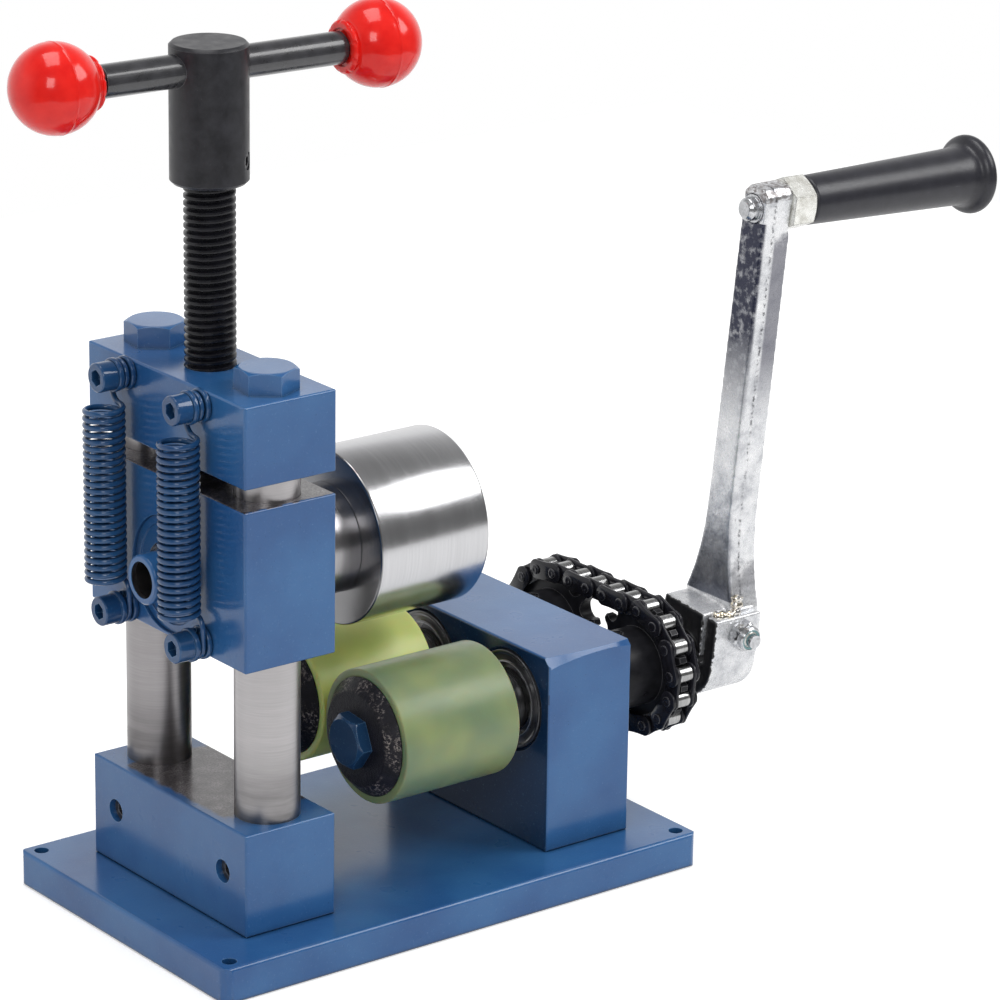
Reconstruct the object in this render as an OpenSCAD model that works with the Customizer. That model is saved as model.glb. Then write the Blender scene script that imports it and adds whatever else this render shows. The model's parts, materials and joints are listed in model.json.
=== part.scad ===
// Jewellers bench mill with three rollers, for curving strip and ring blanks.
// Millimetres. X runs along the roller shafts towards the crank, Y across the
// machine, Z up. The origin is the middle of the base plate's underside.

/* [Base plate] */
// Length of the plate, along the roller shafts
plate_l = 200; // [196:1:240]
// Width of the plate
plate_w = 125; // [112:1:160]
// Thickness of the plate
plate_t = 12.7; // [10:0.1:20]
// Radius of the plate's four upright corners
plate_corner_r = 4; // [2:0.5:8]
// Radius on the plate's long edges
plate_edge_r = 1.4; // [0.6:0.1:2]
// Diameter of the holes that bolt the plate down
mount_hole_d = 5; // [4:0.1:7]
// From those holes' centres to the plate's edges
mount_hole_inset = 5.7; // [5:0.1:8]

/* [Front blocks] */
// Depth of the three front blocks, along the roller shafts
block_d = 36; // [34:0.5:44]
// Width of the three front blocks
block_w = 91; // [89:0.5:105]
// From the plate's front edge to the front blocks
block_setback = 20.2; // [14:0.1:26]
// Height of the post block on the plate
post_block_h = 36.3; // [30:0.1:42]
// Height of the crosshead
crosshead_h = 27.9; // [25:0.1:36]
// Height of the sliding head
head_h = 55.2; // [50:0.1:70]
// Height of the upper roller's axis over the head's underside
head_axis_h = 21.4; // [21.2:0.1:26]
// Free height over the head, with the mill as it stands
head_gap = 7.4; // [5:0.1:12]
// Radius on the edges of the blocks
block_edge_r = 0.9; // [0.4:0.1:1.4]

/* [Guide posts] */
// Diameter of the two posts
post_d = 22; // [18:0.5:22.4]
// Distance between the posts' axes
post_spacing = 64; // [63.8:0.1:67]
// How deep a post goes into the post block
post_seat = 30; // [24:0.5:30]
// How deep a post goes into the crosshead
post_top_seat = 15; // [10:0.5:16]
// Thread of the bolts that hold the crosshead on the posts
post_bolt_d = 12; // [8:1:12]
// Key size of those bolts
post_bolt_key = 18.5; // [16:0.5:20]
// Height of those bolts' heads
post_bolt_head_h = 7.6; // [6:0.1:9]
// Turn of the bolts' heads about their own axes, in degrees
post_bolt_turn = 22; // [0:1:59]
// Thread of the set screws that lock the posts
post_screw_d = 8; // [5:1:10]

/* [Lead screw and handle] */
// Diameter of the lead screw
screw_d = 17.2; // [14:0.1:17.6]
// Length of screw that shows over the crosshead
screw_show = 61.5; // [40:0.5:80]
// Diameter of the screw's plain nose
screw_nose_d = 12; // [8:0.5:13]
// Diameter of the hard pad that the nose turns on
pad_d = 16; // [14:0.5:18]
// Thickness of that pad
pad_t = 4; // [3:0.5:6]
// Diameter of the handle's hub
hub_d = 26; // [25:0.5:32]
// Height of the hub
hub_h = 46.2; // [42:0.1:60]
// How far the screw goes up into the hub
hub_bore_h = 30; // [20:0.5:31]
// From the hub's top down to the bar's axis
hub_bar_drop = 8.2; // [7.5:0.1:9.5]
// Diameter of the cross bar
bar_d = 11; // [9:0.5:12]
// Distance between the two knobs' centres
bar_l = 122.8; // [100:0.2:150]
// How far the bar is pushed to one side in its hub
bar_shift = 4.8; // [0:0.1:8]
// Turn of the bar about the screw, in degrees
bar_turn = -2.6; // [-45:0.1:45]
// Diameter of the ball knobs
knob_d = 30; // [24:0.5:36]
// Diameter of the collar where the bar enters a knob
knob_collar_d = 14.5; // [13:0.5:18]
// How far that collar stands proud of the ball
knob_collar_h = 1.2; // [0.8:0.1:3]
// Diameter of the bar's ends inside the knobs
bar_end_d = 8; // [6:0.5:9]
// Length of those ends
bar_end_l = 13; // [8:0.5:14]

/* [Return springs] */
// Distance between the two springs
spring_spacing = 43.4; // [42:0.2:46]
// Outer diameter of a spring's coil
spring_d = 14.4; // [12:0.1:15]
// Diameter of the spring wire
wire_d = 1.9; // [1.5:0.05:1.9]
// Number of turns in a coil
spring_turns = 25; // [20:1:25]
// From a spring screw's axis to the coil's end
hook_rise = 10.2; // [9:0.1:10.4]
// Thread of the screws that the springs hang on
spring_screw_d = 6; // [4:0.5:6]
// From the upper spring screws' axes down from the crosshead's top
upper_screw_inset = 4.9; // [4.6:0.1:7]
// From the lower spring screws' axes up from the head's underside
lower_screw_inset = 4.6; // [4.4:0.1:7]
// Diameter of those screws' heads
cap_head_d = 10; // [9:0.5:11]
// Length of those heads
cap_head_h = 6; // [5:0.5:8]
// Outer diameter of the washers beside the hooks
washer_d = 11.4; // [11:0.1:11.8]
// Thickness of those washers
washer_t = 1.9; // [1:0.1:2.2]

/* [Rollers] */
// Diameter of the steel upper roller
upper_roller_d = 61; // [50:0.5:62]
// Length of the upper roller
upper_roller_l = 44.8; // [38:0.2:50]
// Diameter of the collar that the upper roller seats against
upper_collar_d = 38; // [30:0.5:40]
// Diameter of the spigot inside the upper roller
upper_spigot_d = 20; // [16:0.5:22]
// How far the upper shaft's hollow end stands out of the head
shaft_show = 9.8; // [4:0.1:14]
// Diameter of the hole in that end
shaft_bore_d = 12.4; // [8:0.1:13]
// Depth of that hole
shaft_bore_l = 24; // [10:1:30]
// Diameter of the two lower rollers, over their sleeves
lower_roller_d = 46.8; // [40:0.2:46.8]
// Wall of the lower rollers' sleeves
sleeve_t = 3; // [2:0.1:5]
// Length of the lower rollers
lower_roller_l = 47.8; // [40:0.2:52]
// Diameter of the spigot inside a lower roller
lower_spigot_d = 16; // [15:0.5:18]
// Chamfer on the lower rollers' cores
core_chamfer = 1.6; // [0.5:0.1:2.5]
// Free gap between the upper roller and each lower one
nip_gap = 14.6; // [10:0.1:20]
// Height of the lower rollers' axes over the table
axis_z = 62.6; // [58:0.1:62.8]
// Free length of shaft between the lower rollers and their block
roller_gap = 13; // [9:0.1:18]
// Thread of the bolts that hold the rollers on
roller_bolt_d = 12; // [8:0.5:12]
// Key size of those bolts
roller_bolt_key = 18.5; // [16:0.5:19]
// Height of those bolts' heads
roller_bolt_head_h = 8.2; // [5:0.1:9]
// Turn of those bolts about their own axes, in degrees
roller_bolt_turn = 36; // [0:1:59]

/* [Shafts and bearings] */
// Diameter of the three shafts in their bearings
shaft_d = 17; // [15:0.5:17]
// Outer diameter of the two ball bearings in the head
head_bearing_d = 40; // [35:0.5:40]
// Width of those bearings
head_bearing_w = 12; // [9:0.5:12]
// Outer diameter of the four ball bearings in the bearing block
block_bearing_d = 35; // [32:0.5:37]
// Width of those bearings
block_bearing_w = 10; // [9:0.5:12]
// How far the bearings lie behind the faces of their blocks
bearing_recess = 1.2; // [0.4:0.1:1.5]
// Diameter of the shoulders beside the bearings
shoulder_d = 22; // [20.5:0.5:23]
// Depth of the bearing block, along the shafts
bearing_block_d = 36.1; // [34:0.1:44]
// Width of the bearing block
bearing_block_w = 92; // [90:0.5:110]
// Height of the bearing block on the plate
bearing_block_h = 70.7; // [70.5:0.1:80]
// From the plate's rear edge to the bearing block
bearing_setback = 18.7; // [14:0.1:26]
// Chamfer at the two ends of the bearing block's top
bearing_block_chamfer = 2.8; // [1:0.1:4]

/* [Chain drive] */
// Pitch of the roller chain
chain_pitch = 9.525; // [9.3:0.005:9.7]
// Number of links in the chain
chain_links = 24; // [24:2:28]
// Number of teeth on each sprocket
teeth = 14; // [14:2:14]
// Diameter of the chain's rollers
chain_roller_d = 6.35; // [5.8:0.05:6.4]
// Height of the chain's plates
chain_plate_h = 7.6; // [7.4:0.1:8.4]
// Thickness of the chain's plates
chain_plate_t = 1.2; // [0.8:0.05:1.3]
// Clear width between the inner plates
chain_inner_w = 5.72; // [5.6:0.01:6.2]
// Diameter of the chain's pins
chain_pin_d = 3.28; // [2.8:0.01:3.4]
// Thickness of a sprocket at its teeth
sprocket_t = 5.2; // [4.5:0.1:5.3]
// Turn of the sprockets and the chain as the mill stands, in degrees
drive_turn = 6.4; // [0:0.1:25.7]
// Diameter of a sprocket's boss
sprocket_boss_d = 28; // [25:0.5:30]
// From the bearing block to the middle of the chain
chain_offset = 23.7; // [20:0.1:30]

/* [Crank] */
// From the shaft's axis to the grip's axis
crank_l = 165.4; // [120:0.2:200]
// Lean of the crank from upright, in degrees
crank_lean = 6; // [-90:1:90]
// Diameter of the crank's hub
crank_hub_d = 31; // [30:0.5:36]
// Length of the crank's hub, along the shaft
crank_hub_l = 21.2; // [19:0.1:30]
// From the middle of the chain to the crank's hub
crank_offset = 18; // [16:0.5:24]
// Thickness of the crank's arm, along the shaft
arm_t = 12.4; // [9:0.1:14]
// How far the arm stands proud of the hub's end
arm_proud = 2.3; // [1:0.1:4]
// Width of the arm at its foot
arm_foot_w = 26; // [22:0.5:28]
// Width of the arm at its waist
arm_waist_w = 13; // [11:0.1:16]
// Width of the arm at its outer end
arm_end_w = 12; // [11.5:0.1:18]
// How far the arm's foot lies to the far side of the shaft's axis
arm_foot_shift = 1.8; // [0:0.1:2]
// How far the arm's end lies to the near side of the grip's axis
arm_end_shift = 0.8; // [0:0.1:1]
// Width of the slit that lets the hub clamp
slit_w = 2; // [1.2:0.1:3]
// Thread of the clamp bolt
clamp_bolt_d = 5; // [4:0.5:5]
// Key size of the clamp bolt and its nut
clamp_key = 8; // [7:0.5:9]

/* [Grip] */
// Diameter of the handle stud in the arm
stud_d = 10; // [8:0.5:11]
// Diameter of the stud's end, riveted over behind the arm
stud_rivet_d = 8.2; // [7:0.1:10]
// Key size of the nut behind the grip
stud_nut_key = 17; // [15:0.5:19]
// Thickness of that nut
stud_nut_h = 10; // [6:0.5:12]
// Length of the grip
grip_l = 80.3; // [60:0.1:110]
// Diameter of the grip at the nut
grip_d = 17.2; // [16:0.2:22]
// Diameter of the grip before its end bead
grip_end_d = 21; // [18:0.2:26]
// Diameter of the bead at the grip's end
grip_bead_d = 28.2; // [24:0.2:32]
// Width of that bead
grip_bead_w = 5.8; // [4:0.1:8]
// How far the grip's axis tips down from the shafts' direction, in degrees
grip_droop = 1.7; // [0:0.1:3]

/* [Hidden] */
$fn = 64;

// Fits: running between bodies, seated within one, and flat running faces
running_fit = 0.04;
seat_fit = 0.02;
face_gap = 0.15;
// Overrun of every cut past the face it opens
over = 1;

// Shares: chamfer on a turned end, bevel of a hexagon, socket of a cap screw
end_edge_share = 0.04;
screw_sink_share = 0.1;
post_screw_sink_share = 0.3;
hub_screw_sink_share = 0.02;
nose_gap_share = 0.5;
washer_edge_share = 0.2;
sleeve_edge_share = 0.25;
rivet_edge_share = 0.16;
hex_bevel_share = 0.48;
socket_share = 0.48;
set_socket_share = 0.29;
// Thread engaged, as a share of a bolt's diameter
thread_share = 1.6;

// Bearings: share of the width that a ring takes, sink of the seals, hole behind
ring_share = 0.24;
seal_sink_share = 0.06;
bore_share = 0.72;
pocket_chamfer = 1;

// Front blocks and posts
front_x = -plate_l / 2 + block_setback;
post_x = front_x + block_d / 2;
head_back_x = front_x + block_d;
post_y = post_spacing / 2;
post_block_top = plate_t + post_block_h;

// Chain and lower shafts
shaft_spacing = chain_pitch * (chain_links - teeth) / 2;
shaft_y = shaft_spacing / 2;
tooth_turn = 360 / teeth;
pitch_r = chain_pitch / 2 / sin(tooth_turn / 2);

// Rollers, one over two
bearing_back_x = plate_l / 2 - bearing_setback;
bearing_front_x = bearing_back_x - bearing_block_d;
lower_back_x = bearing_front_x - roller_gap;
lower_front_x = lower_back_x - lower_roller_l;
nip_x = lower_back_x - lower_roller_l / 2;
upper_front_x = nip_x - upper_roller_l / 2;
upper_back_x = upper_front_x + upper_roller_l;
roller_reach = (upper_roller_d + lower_roller_d) / 2 + nip_gap;
upper_z = axis_z + sqrt(roller_reach * roller_reach - shaft_y * shaft_y);

// Heights of the head and the crosshead
head_z = upper_z - head_axis_h;
head_top = head_z + head_h;
crosshead_z = head_top + head_gap;
crosshead_top = crosshead_z + crosshead_h;
post_z = post_block_top - post_seat;
post_top = crosshead_z + post_top_seat;

// Handle
hub_z = crosshead_top + screw_show;
hub_top = hub_z + hub_h;
bar_z = hub_top - hub_bar_drop;
hub_screw_d = 6;
hub_screw_rise = 7.7;
hub_screw_turn = -50;
knob_reach = knob_d / 2 + knob_collar_h;

// Springs and their screws
upper_screw_z = crosshead_top - upper_screw_inset;
lower_screw_z = head_z + lower_screw_inset;
hook_play = 0.4;
hook_w = wire_d + 2 * hook_play;
hook_x = front_x - washer_t - hook_w / 2;
coil_r = (spring_d - wire_d) / 2;
coil_x = hook_x - coil_r;
hook_r = (spring_screw_d + wire_d) / 2 + hook_play;
coil_l = upper_screw_z - lower_screw_z - 2 * hook_rise;
coil_pitch = coil_l / spring_turns;
spring_screw_depth = 6.4;
spring_screw_play = 1;
curl_rings = 8;
wire_sides = 6;
bend_rings = 3;
loop_rings = 9;
loop_turn = 262;

// Chain across its width
chain_x = bearing_back_x + chain_offset;
plate_play = 0.1;
inner_plate_x = chain_inner_w / 2 + plate_play;
outer_plate_x = inner_plate_x + chain_plate_t + plate_play;
chain_pin_l = 2 * (outer_plate_x + chain_plate_t + plate_play) + chain_plate_t;
bush_wall = 0.8;
bush_d = chain_pin_d + 2 * (running_fit + bush_wall);
plate_waist_share = 0.92;

// Sprocket teeth
tooth_tip_share = 0.28;
tooth_seat_share = 0.53;
tooth_r = pitch_r + chain_roller_d * tooth_tip_share;
tooth_seat_r = chain_roller_d * tooth_seat_share;
flank_share = 1.48;
tooth_bevel = 1.2;
boss_gap = 0.9;
boss_start_x = bearing_back_x + boss_gap;
sprocket_screw_d = 5;
sprocket_screw_x = (boss_start_x + chain_x - sprocket_t / 2) / 2;

// Crank
crank_x = chain_x + crank_offset;
crank_end_x = crank_x + crank_hub_l;
arm_end_x = crank_end_x + arm_proud;
arm_x = arm_end_x - arm_t;
crank_top_rise = 2.7;
crank_top = crank_hub_d / 2 + crank_top_rise;
lug_reach = 16;
lug_drop = 7;
slit_y = shaft_d / 2 + slit_w / 2;
clamp_wall = 0.7;
clamp_rise = shaft_d / 2 + clamp_bolt_d / 2 + clamp_wall;
clamp_place_share = 0.555;
clamp_x = crank_x + crank_hub_l * clamp_place_share;
clamp_seat_y = 9.3;
clamp_nut_h = 6.6;
clamp_bolt_show = 2;
arm_foot_share = 0.11;
arm_waist_share = 0.36;
arm_flare_power = 2.5;
arm_corner_share = 0.22;
arm_points = 8;
arm_end_over = 8.4;

// Grip, along X from the arm's outer face
stud_nut_sink = 0.4;
stud_nut_end = stud_nut_h - stud_nut_sink;
grip_play = 0.6;
grip_start = stud_nut_end + grip_play;
grip_end = grip_start + grip_l;

// Outlines and simple solids

// Rectangle with rounded corners, centred
module round_rect(w, h, r) {
  square([w - 2 * r, h], center = true);
  square([w, h - 2 * r], center = true);
  for (x = [-1, 1], y = [-1, 1])
    translate([x * (w / 2 - r), y * (h / 2 - r)]) circle(r);
}

// Block standing on z = 0, with its upright edges and its long edges rounded
module soft_block(l, w, h, upright_r, edge_r) {
  translate([0, 0, h / 2]) intersection() {
    linear_extrude(h, center = true) round_rect(l, w, upright_r);
    rotate([90, 0, 0]) linear_extrude(w, center = true) round_rect(l, h, edge_r);
    rotate([90, 0, 90]) linear_extrude(l, center = true) round_rect(w, h, edge_r);
  }
}

// Flat shape drawn in Y and Z, from one place on X to another
module slab_x(x0, x1) {
  translate([x0, 0, 0]) rotate([90, 0, 90]) linear_extrude(x1 - x0) children();
}

// Round bar along X
module rod_x(d, x0, x1) {
  translate([x0, 0, 0]) rotate([0, 90, 0]) cylinder(d = d, h = x1 - x0);
}

// Solid turned about X from points of radius and X
module turned_x(points) {
  rotate([0, 90, 0]) rotate_extrude() polygon(points);
}

// Ring about X, with a chamfer on its outer edges
module ring_x(d, bore, x0, x1, chamfer) {
  turned_x([
    [bore / 2, x0], [d / 2 - chamfer, x0], [d / 2, x0 + chamfer],
    [d / 2, x1 - chamfer], [d / 2 - chamfer, x1], [bore / 2, x1]
  ]);
}

// Hexagon head along Z, with its top corners turned off
module hex_head(key, h) {
  corner_r = key / sqrt(3);
  drop = corner_r - key * hex_bevel_share;
  intersection() {
    cylinder(r = corner_r, h = h, $fn = 6);
    rotate_extrude() polygon([
      [0, 0], [corner_r, 0], [corner_r, h - drop / 2],
      [key * hex_bevel_share, h], [0, h]
    ]);
  }
}

// Hexagon bolt: the shank goes down from z = 0 and the head stands up
module hex_bolt(d, key, head_h, shank_l) {
  hex_head(key, head_h);
  translate([0, 0, -shank_l]) cylinder(d = d, h = shank_l);
}

// Socket cap screw: the shank goes down from z = 0 and the head stands up
module cap_screw(d, head_d, head_h, shank_l) {
  edge = head_d * end_edge_share;
  difference() {
    rotate_extrude() polygon([
      [0, 0], [head_d / 2, 0], [head_d / 2, head_h - edge],
      [head_d / 2 - edge, head_h], [0, head_h]
    ]);
    translate([0, 0, head_h / 2]) cylinder(r = d * socket_share, h = head_h, $fn = 6);
  }
  translate([0, 0, -shank_l]) cylinder(d = d, h = shank_l);
}

// Set screw with a socket, its outer end on z = 0
module set_screw(d, l) {
  translate([0, 0, -l]) difference() {
    cylinder(d = d, h = l);
    translate([0, 0, l / 2]) cylinder(r = d * set_socket_share, h = l, $fn = 6);
  }
}

// Frame

module mount_holes() {
  for (x = [-1, 1], y = [-1, 1])
    translate([
      x * (plate_l / 2 - mount_hole_inset), y * (plate_w / 2 - mount_hole_inset), -over
    ]) cylinder(d = mount_hole_d, h = plate_t + 2 * over);
}

// Screws that come up through the plate into the two standing blocks
block_screw_d = 6;
block_screw_grip = 12;
block_screw_places = [
  [post_x, post_spacing / 4], [post_x, -post_spacing / 4],
  [bearing_back_x - bearing_block_d / 2, bearing_block_w / 3],
  [bearing_back_x - bearing_block_d / 2, -bearing_block_w / 3]
];
block_screw_play = 0.5;
block_screw_sink = cap_head_h + 2 * block_screw_play;

module block_screw_holes() {
  for (at = block_screw_places) translate([at[0], at[1], 0]) {
    translate([0, 0, -over]) cylinder(d = cap_head_d + 2 * block_screw_play, h = block_screw_sink + over);
    cylinder(d = block_screw_d + 2 * seat_fit, h = plate_t + block_screw_grip + over);
  }
}

module base_plate() {
  color("steelblue") difference() {
    soft_block(plate_l, plate_w, plate_t, plate_corner_r, plate_edge_r);
    mount_holes();
    block_screw_holes();
  }
}

module block_screws() {
  color("dimgray") for (at = block_screw_places)
    translate([at[0], at[1], block_screw_sink]) mirror([0, 0, 1])
      cap_screw(block_screw_d, cap_head_d, cap_head_h, plate_t - block_screw_sink + block_screw_grip);
}

module post_bores(z0, z1, fit) {
  for (side = [-1, 1]) translate([post_x, side * post_y, z0])
    cylinder(d = post_d + 2 * fit, h = z1 - z0);
}

post_screw_share = 0.54;
post_screw_z = plate_t + post_block_h * post_screw_share;

module post_block() {
  color("steelblue") difference() {
    translate([post_x, 0, plate_t])
      soft_block(block_d, block_w, post_block_h, block_edge_r, block_edge_r);
    post_bores(post_z, post_block_top + over, seat_fit);
    for (side = [-1, 1]) translate([0, side * post_y, post_screw_z])
      rod_x(post_screw_d + 2 * seat_fit, front_x - over, post_x);
    block_screw_holes();
  }
}

module post_set_screws() {
  sink = post_screw_d * post_screw_sink_share;
  grip = post_x - post_d / 2 - front_x - sink;
  color("steelblue") for (side = [-1, 1])
    translate([front_x + sink, side * post_y, post_screw_z])
      rotate([0, -90, 0]) set_screw(post_screw_d, grip);
}

// Depth of a post's tapped hole past its bolt's end, as a share of the bolt
post_hole_share = 0.2;

module post(side) {
  edge = post_d * end_edge_share;
  hole_l = post_bolt_d * (thread_share + post_hole_share);
  color("silver") translate([post_x, side * post_y, 0]) difference() {
    rotate_extrude() polygon([
      [0, post_z], [post_d / 2 - edge, post_z], [post_d / 2, post_z + edge],
      [post_d / 2, post_top - edge], [post_d / 2 - edge, post_top], [0, post_top]
    ]);
    translate([0, 0, post_top - hole_l])
      cylinder(d = post_bolt_d + 2 * seat_fit, h = hole_l + over);
  }
}

module left_post() { post(1); }
module right_post() { post(-1); }

module spring_screw_holes(z) {
  for (side = [-1, 1]) translate([0, side * spring_spacing / 2, z])
    rod_x(spring_screw_d + 2 * seat_fit, front_x - over, front_x + spring_screw_depth);
}

module crosshead() {
  color("steelblue") difference() {
    translate([post_x, 0, crosshead_z])
      soft_block(block_d, block_w, crosshead_h, block_edge_r, block_edge_r);
    post_bores(crosshead_z - over, post_top, seat_fit);
    for (side = [-1, 1]) translate([post_x, side * post_y, crosshead_z])
      cylinder(d = post_bolt_d + 2 * seat_fit, h = crosshead_h + over);
    translate([post_x, 0, crosshead_z - over])
      cylinder(d = screw_d + 2 * running_fit, h = crosshead_h + 2 * over);
    spring_screw_holes(upper_screw_z);
  }
}

module post_bolts() {
  grip = crosshead_top - post_top + post_bolt_d * thread_share;
  color("steelblue") for (side = [-1, 1])
    translate([post_x, side * post_y, crosshead_top]) rotate([0, 0, post_bolt_turn])
      hex_bolt(post_bolt_d, post_bolt_key, post_bolt_head_h, grip);
}

// Bearing pockets in both faces of a block, and the narrower hole between them
module bearing_bores(x0, x1, d, w, chamfer) {
  pocket = bearing_recess + w;
  r = d / 2 + seat_fit;
  turned_x([
    [0, x0 - over], [r + chamfer + over, x0 - over], [r, x0 + chamfer], [r, x0 + pocket],
    [r * bore_share, x0 + pocket], [r * bore_share, x1 - pocket], [r, x1 - pocket],
    [r, x1 - chamfer], [r + chamfer + over, x1 + over], [0, x1 + over]
  ]);
}

module bearing_block() {
  l = bearing_block_d;
  w = bearing_block_w;
  h = bearing_block_h;
  c = bearing_block_chamfer;
  color("steelblue") difference() {
    translate([bearing_front_x + l / 2, 0, plate_t]) intersection() {
      soft_block(l, w, h, block_edge_r, block_edge_r);
      rotate([90, 0, 90]) linear_extrude(l, center = true) polygon([
        [-w / 2, 0], [w / 2, 0], [w / 2, h - c], [w / 2 - c, h], [c - w / 2, h], [-w / 2, h - c]
      ]);
    }
    for (side = [-1, 1]) translate([0, side * shaft_y, axis_z]) bearing_bores(
      bearing_front_x, bearing_back_x, block_bearing_d, block_bearing_w, pocket_chamfer
    );
    block_screw_holes();
  }
}

// Sealed ball bearing about X, its seals set in below its rings
module bearing(x0, d, w) {
  x1 = x0 + w;
  bore_r = shaft_d / 2 + running_fit;
  ring_t = (d - shaft_d) * ring_share / 2;
  inner_r = bore_r + ring_t;
  outer_r = d / 2 - ring_t;
  sink = w * seal_sink_share;
  color("dimgray") turned_x([
    [bore_r, x0], [inner_r, x0], [inner_r, x0 + sink], [outer_r, x0 + sink],
    [outer_r, x0], [d / 2, x0], [d / 2, x1], [outer_r, x1],
    [outer_r, x1 - sink], [inner_r, x1 - sink], [inner_r, x1], [bore_r, x1]
  ]);
}

block_bearing_front = bearing_front_x + bearing_recess;
block_bearing_rear = bearing_back_x - bearing_recess - block_bearing_w;

module block_bearing(x0) { bearing(x0, block_bearing_d, block_bearing_w); }

module at_near() { translate([0, -shaft_y, axis_z]) children(); }
module at_far() { translate([0, shaft_y, axis_z]) children(); }

module near_front_bearing() { at_near() block_bearing(block_bearing_front); }
module near_rear_bearing() { at_near() block_bearing(block_bearing_rear); }
module far_front_bearing() { at_far() block_bearing(block_bearing_front); }
module far_rear_bearing() { at_far() block_bearing(block_bearing_rear); }

// Sliding head

head_bearing_front = front_x + bearing_recess;
head_bearing_rear = head_back_x - bearing_recess - head_bearing_w;

module sliding_head() {
  color("steelblue") difference() {
    translate([post_x, 0, head_z])
      soft_block(block_d, block_w, head_h, block_edge_r, block_edge_r);
    post_bores(head_z - over, head_top + over, running_fit);
    translate([0, 0, upper_z])
      bearing_bores(front_x, head_back_x, head_bearing_d, head_bearing_w, 0);
    translate([post_x, 0, head_top - pad_t])
      cylinder(d = pad_d + 2 * seat_fit, h = pad_t + over);
    spring_screw_holes(lower_screw_z);
  }
}

module head_bearing(x0) {
  translate([0, 0, upper_z]) bearing(x0, head_bearing_d, head_bearing_w);
}

module head_front_bearing() { head_bearing(head_bearing_front); }
module head_rear_bearing() { head_bearing(head_bearing_rear); }

module thrust_pad() {
  color("gray") translate([post_x, 0, head_top - pad_t]) cylinder(d = pad_d, h = pad_t);
}

// Lead screw and its handle

module lead_screw() {
  foot = head_top + face_gap;
  top = hub_z + hub_bore_h;
  nose_l = head_gap * nose_gap_share;
  edge = screw_d * end_edge_share;
  color([0.1, 0.1, 0.11]) translate([post_x, 0, 0]) rotate_extrude() polygon([
    [0, foot], [screw_nose_d / 2, foot], [screw_nose_d / 2, foot + nose_l],
    [screw_d / 2 - edge, foot + nose_l], [screw_d / 2, foot + nose_l + edge],
    [screw_d / 2, top - edge], [screw_d / 2 - edge, top], [0, top]
  ]);
}

module handle_hub() {
  r = hub_d / 2;
  edge = hub_d * end_edge_share;
  color([0.12, 0.12, 0.13]) translate([post_x, 0, 0]) difference() {
    rotate_extrude() polygon([
      [0, hub_z], [r - edge, hub_z], [r, hub_z + edge], [r, hub_top - edge],
      [r - edge, hub_top], [0, hub_top]
    ]);
    translate([0, 0, hub_z - over])
      cylinder(d = screw_d + 2 * seat_fit, h = hub_bore_h + over);
    translate([0, 0, bar_z]) rotate([0, 0, bar_turn])
      rod_x(bar_d + 2 * seat_fit, -hub_d, hub_d);
    translate([0, 0, hub_z + hub_screw_rise]) rotate([0, 0, hub_screw_turn])
      rod_x(hub_screw_d + 2 * seat_fit, 0, hub_d);
  }
}

module hub_set_screw() {
  sink = hub_d * hub_screw_sink_share;
  outer = hub_d / 2 - sink;
  color([0.1, 0.1, 0.1]) translate([post_x, 0, hub_z + hub_screw_rise])
    rotate([0, 0, hub_screw_turn]) translate([outer, 0, 0]) rotate([0, 90, 0])
      set_screw(hub_screw_d, outer - screw_d / 2 - seat_fit * 2);
}

module at_bar() {
  translate([post_x, 0, bar_z]) rotate([0, 0, bar_turn])
    translate([bar_shift, 0, 0]) children();
}

module cross_bar() {
  full = bar_l / 2 - knob_reach;
  color([0.1, 0.1, 0.11]) at_bar() {
    rod_x(bar_d, -full, full);
    rod_x(bar_end_d, -full - bar_end_l, full + bar_end_l);
  }
}

// Ball turned about the bar's axis, with a collar and a blind hole for the bar's end
module knob(side) {
  color("red") at_bar() rotate([0, 0, side > 0 ? 180 : 0]) translate([-bar_l / 2, 0, 0])
    rotate([0, 90, 0]) rotate_extrude() difference() {
      intersection() {
        union() {
          circle(d = knob_d);
          square([knob_collar_d / 2, knob_reach - seat_fit]);
        }
        translate([0, -knob_d]) square([knob_d, 2 * knob_d]);
      }
      translate([0, knob_reach - bar_end_l - over])
        square([bar_end_d / 2 + seat_fit, bar_end_l + 2 * over]);
    }
}

module left_knob() { knob(-1); }
module right_knob() { knob(1); }

// Return springs, wound with open hooks that hang on the spring screws

// Wire's centre line and side vector along the coil, u from 0 to 1
function coil_point(u) =
  let (a = 360 * spring_turns * u)
  [[coil_x + coil_r * cos(a), coil_r * sin(a), hook_rise + coil_l * u],
   [cos(a), sin(a), 0]];

// Upper hook: bends up out of the coil, runs straight and loops the screw
hook_side = [1, 0, 0];
upper_bend = [for (i = [1 : bend_rings]) let (a = 90 * i / bend_rings)
  [[hook_x, hook_r * sin(a), hook_rise + coil_l + hook_r * (1 - cos(a))], hook_side]];
upper_loop = [for (i = [0 : loop_rings]) let (a = loop_turn * i / loop_rings)
  [[hook_x, hook_r * cos(a), coil_l + 2 * hook_rise + hook_r * sin(a)], hook_side]];

// The lower hook is the upper one turned half a turn about the coil's middle
function turned_over(p) =
  [[p[0][0], -p[0][1], coil_l + 2 * hook_rise - p[0][2]], p[1]];
function backwards(list) = [for (i = [len(list) - 1 : -1 : 0]) list[i]];

upper_hook = concat(upper_bend, upper_loop);
lower_hook = backwards([for (p = upper_hook) turned_over(p)]);
coil_steps = spring_turns * curl_rings;
spring_path = concat(
  lower_hook, [for (i = [0 : coil_steps]) coil_point(i / coil_steps)], upper_hook
);

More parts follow.
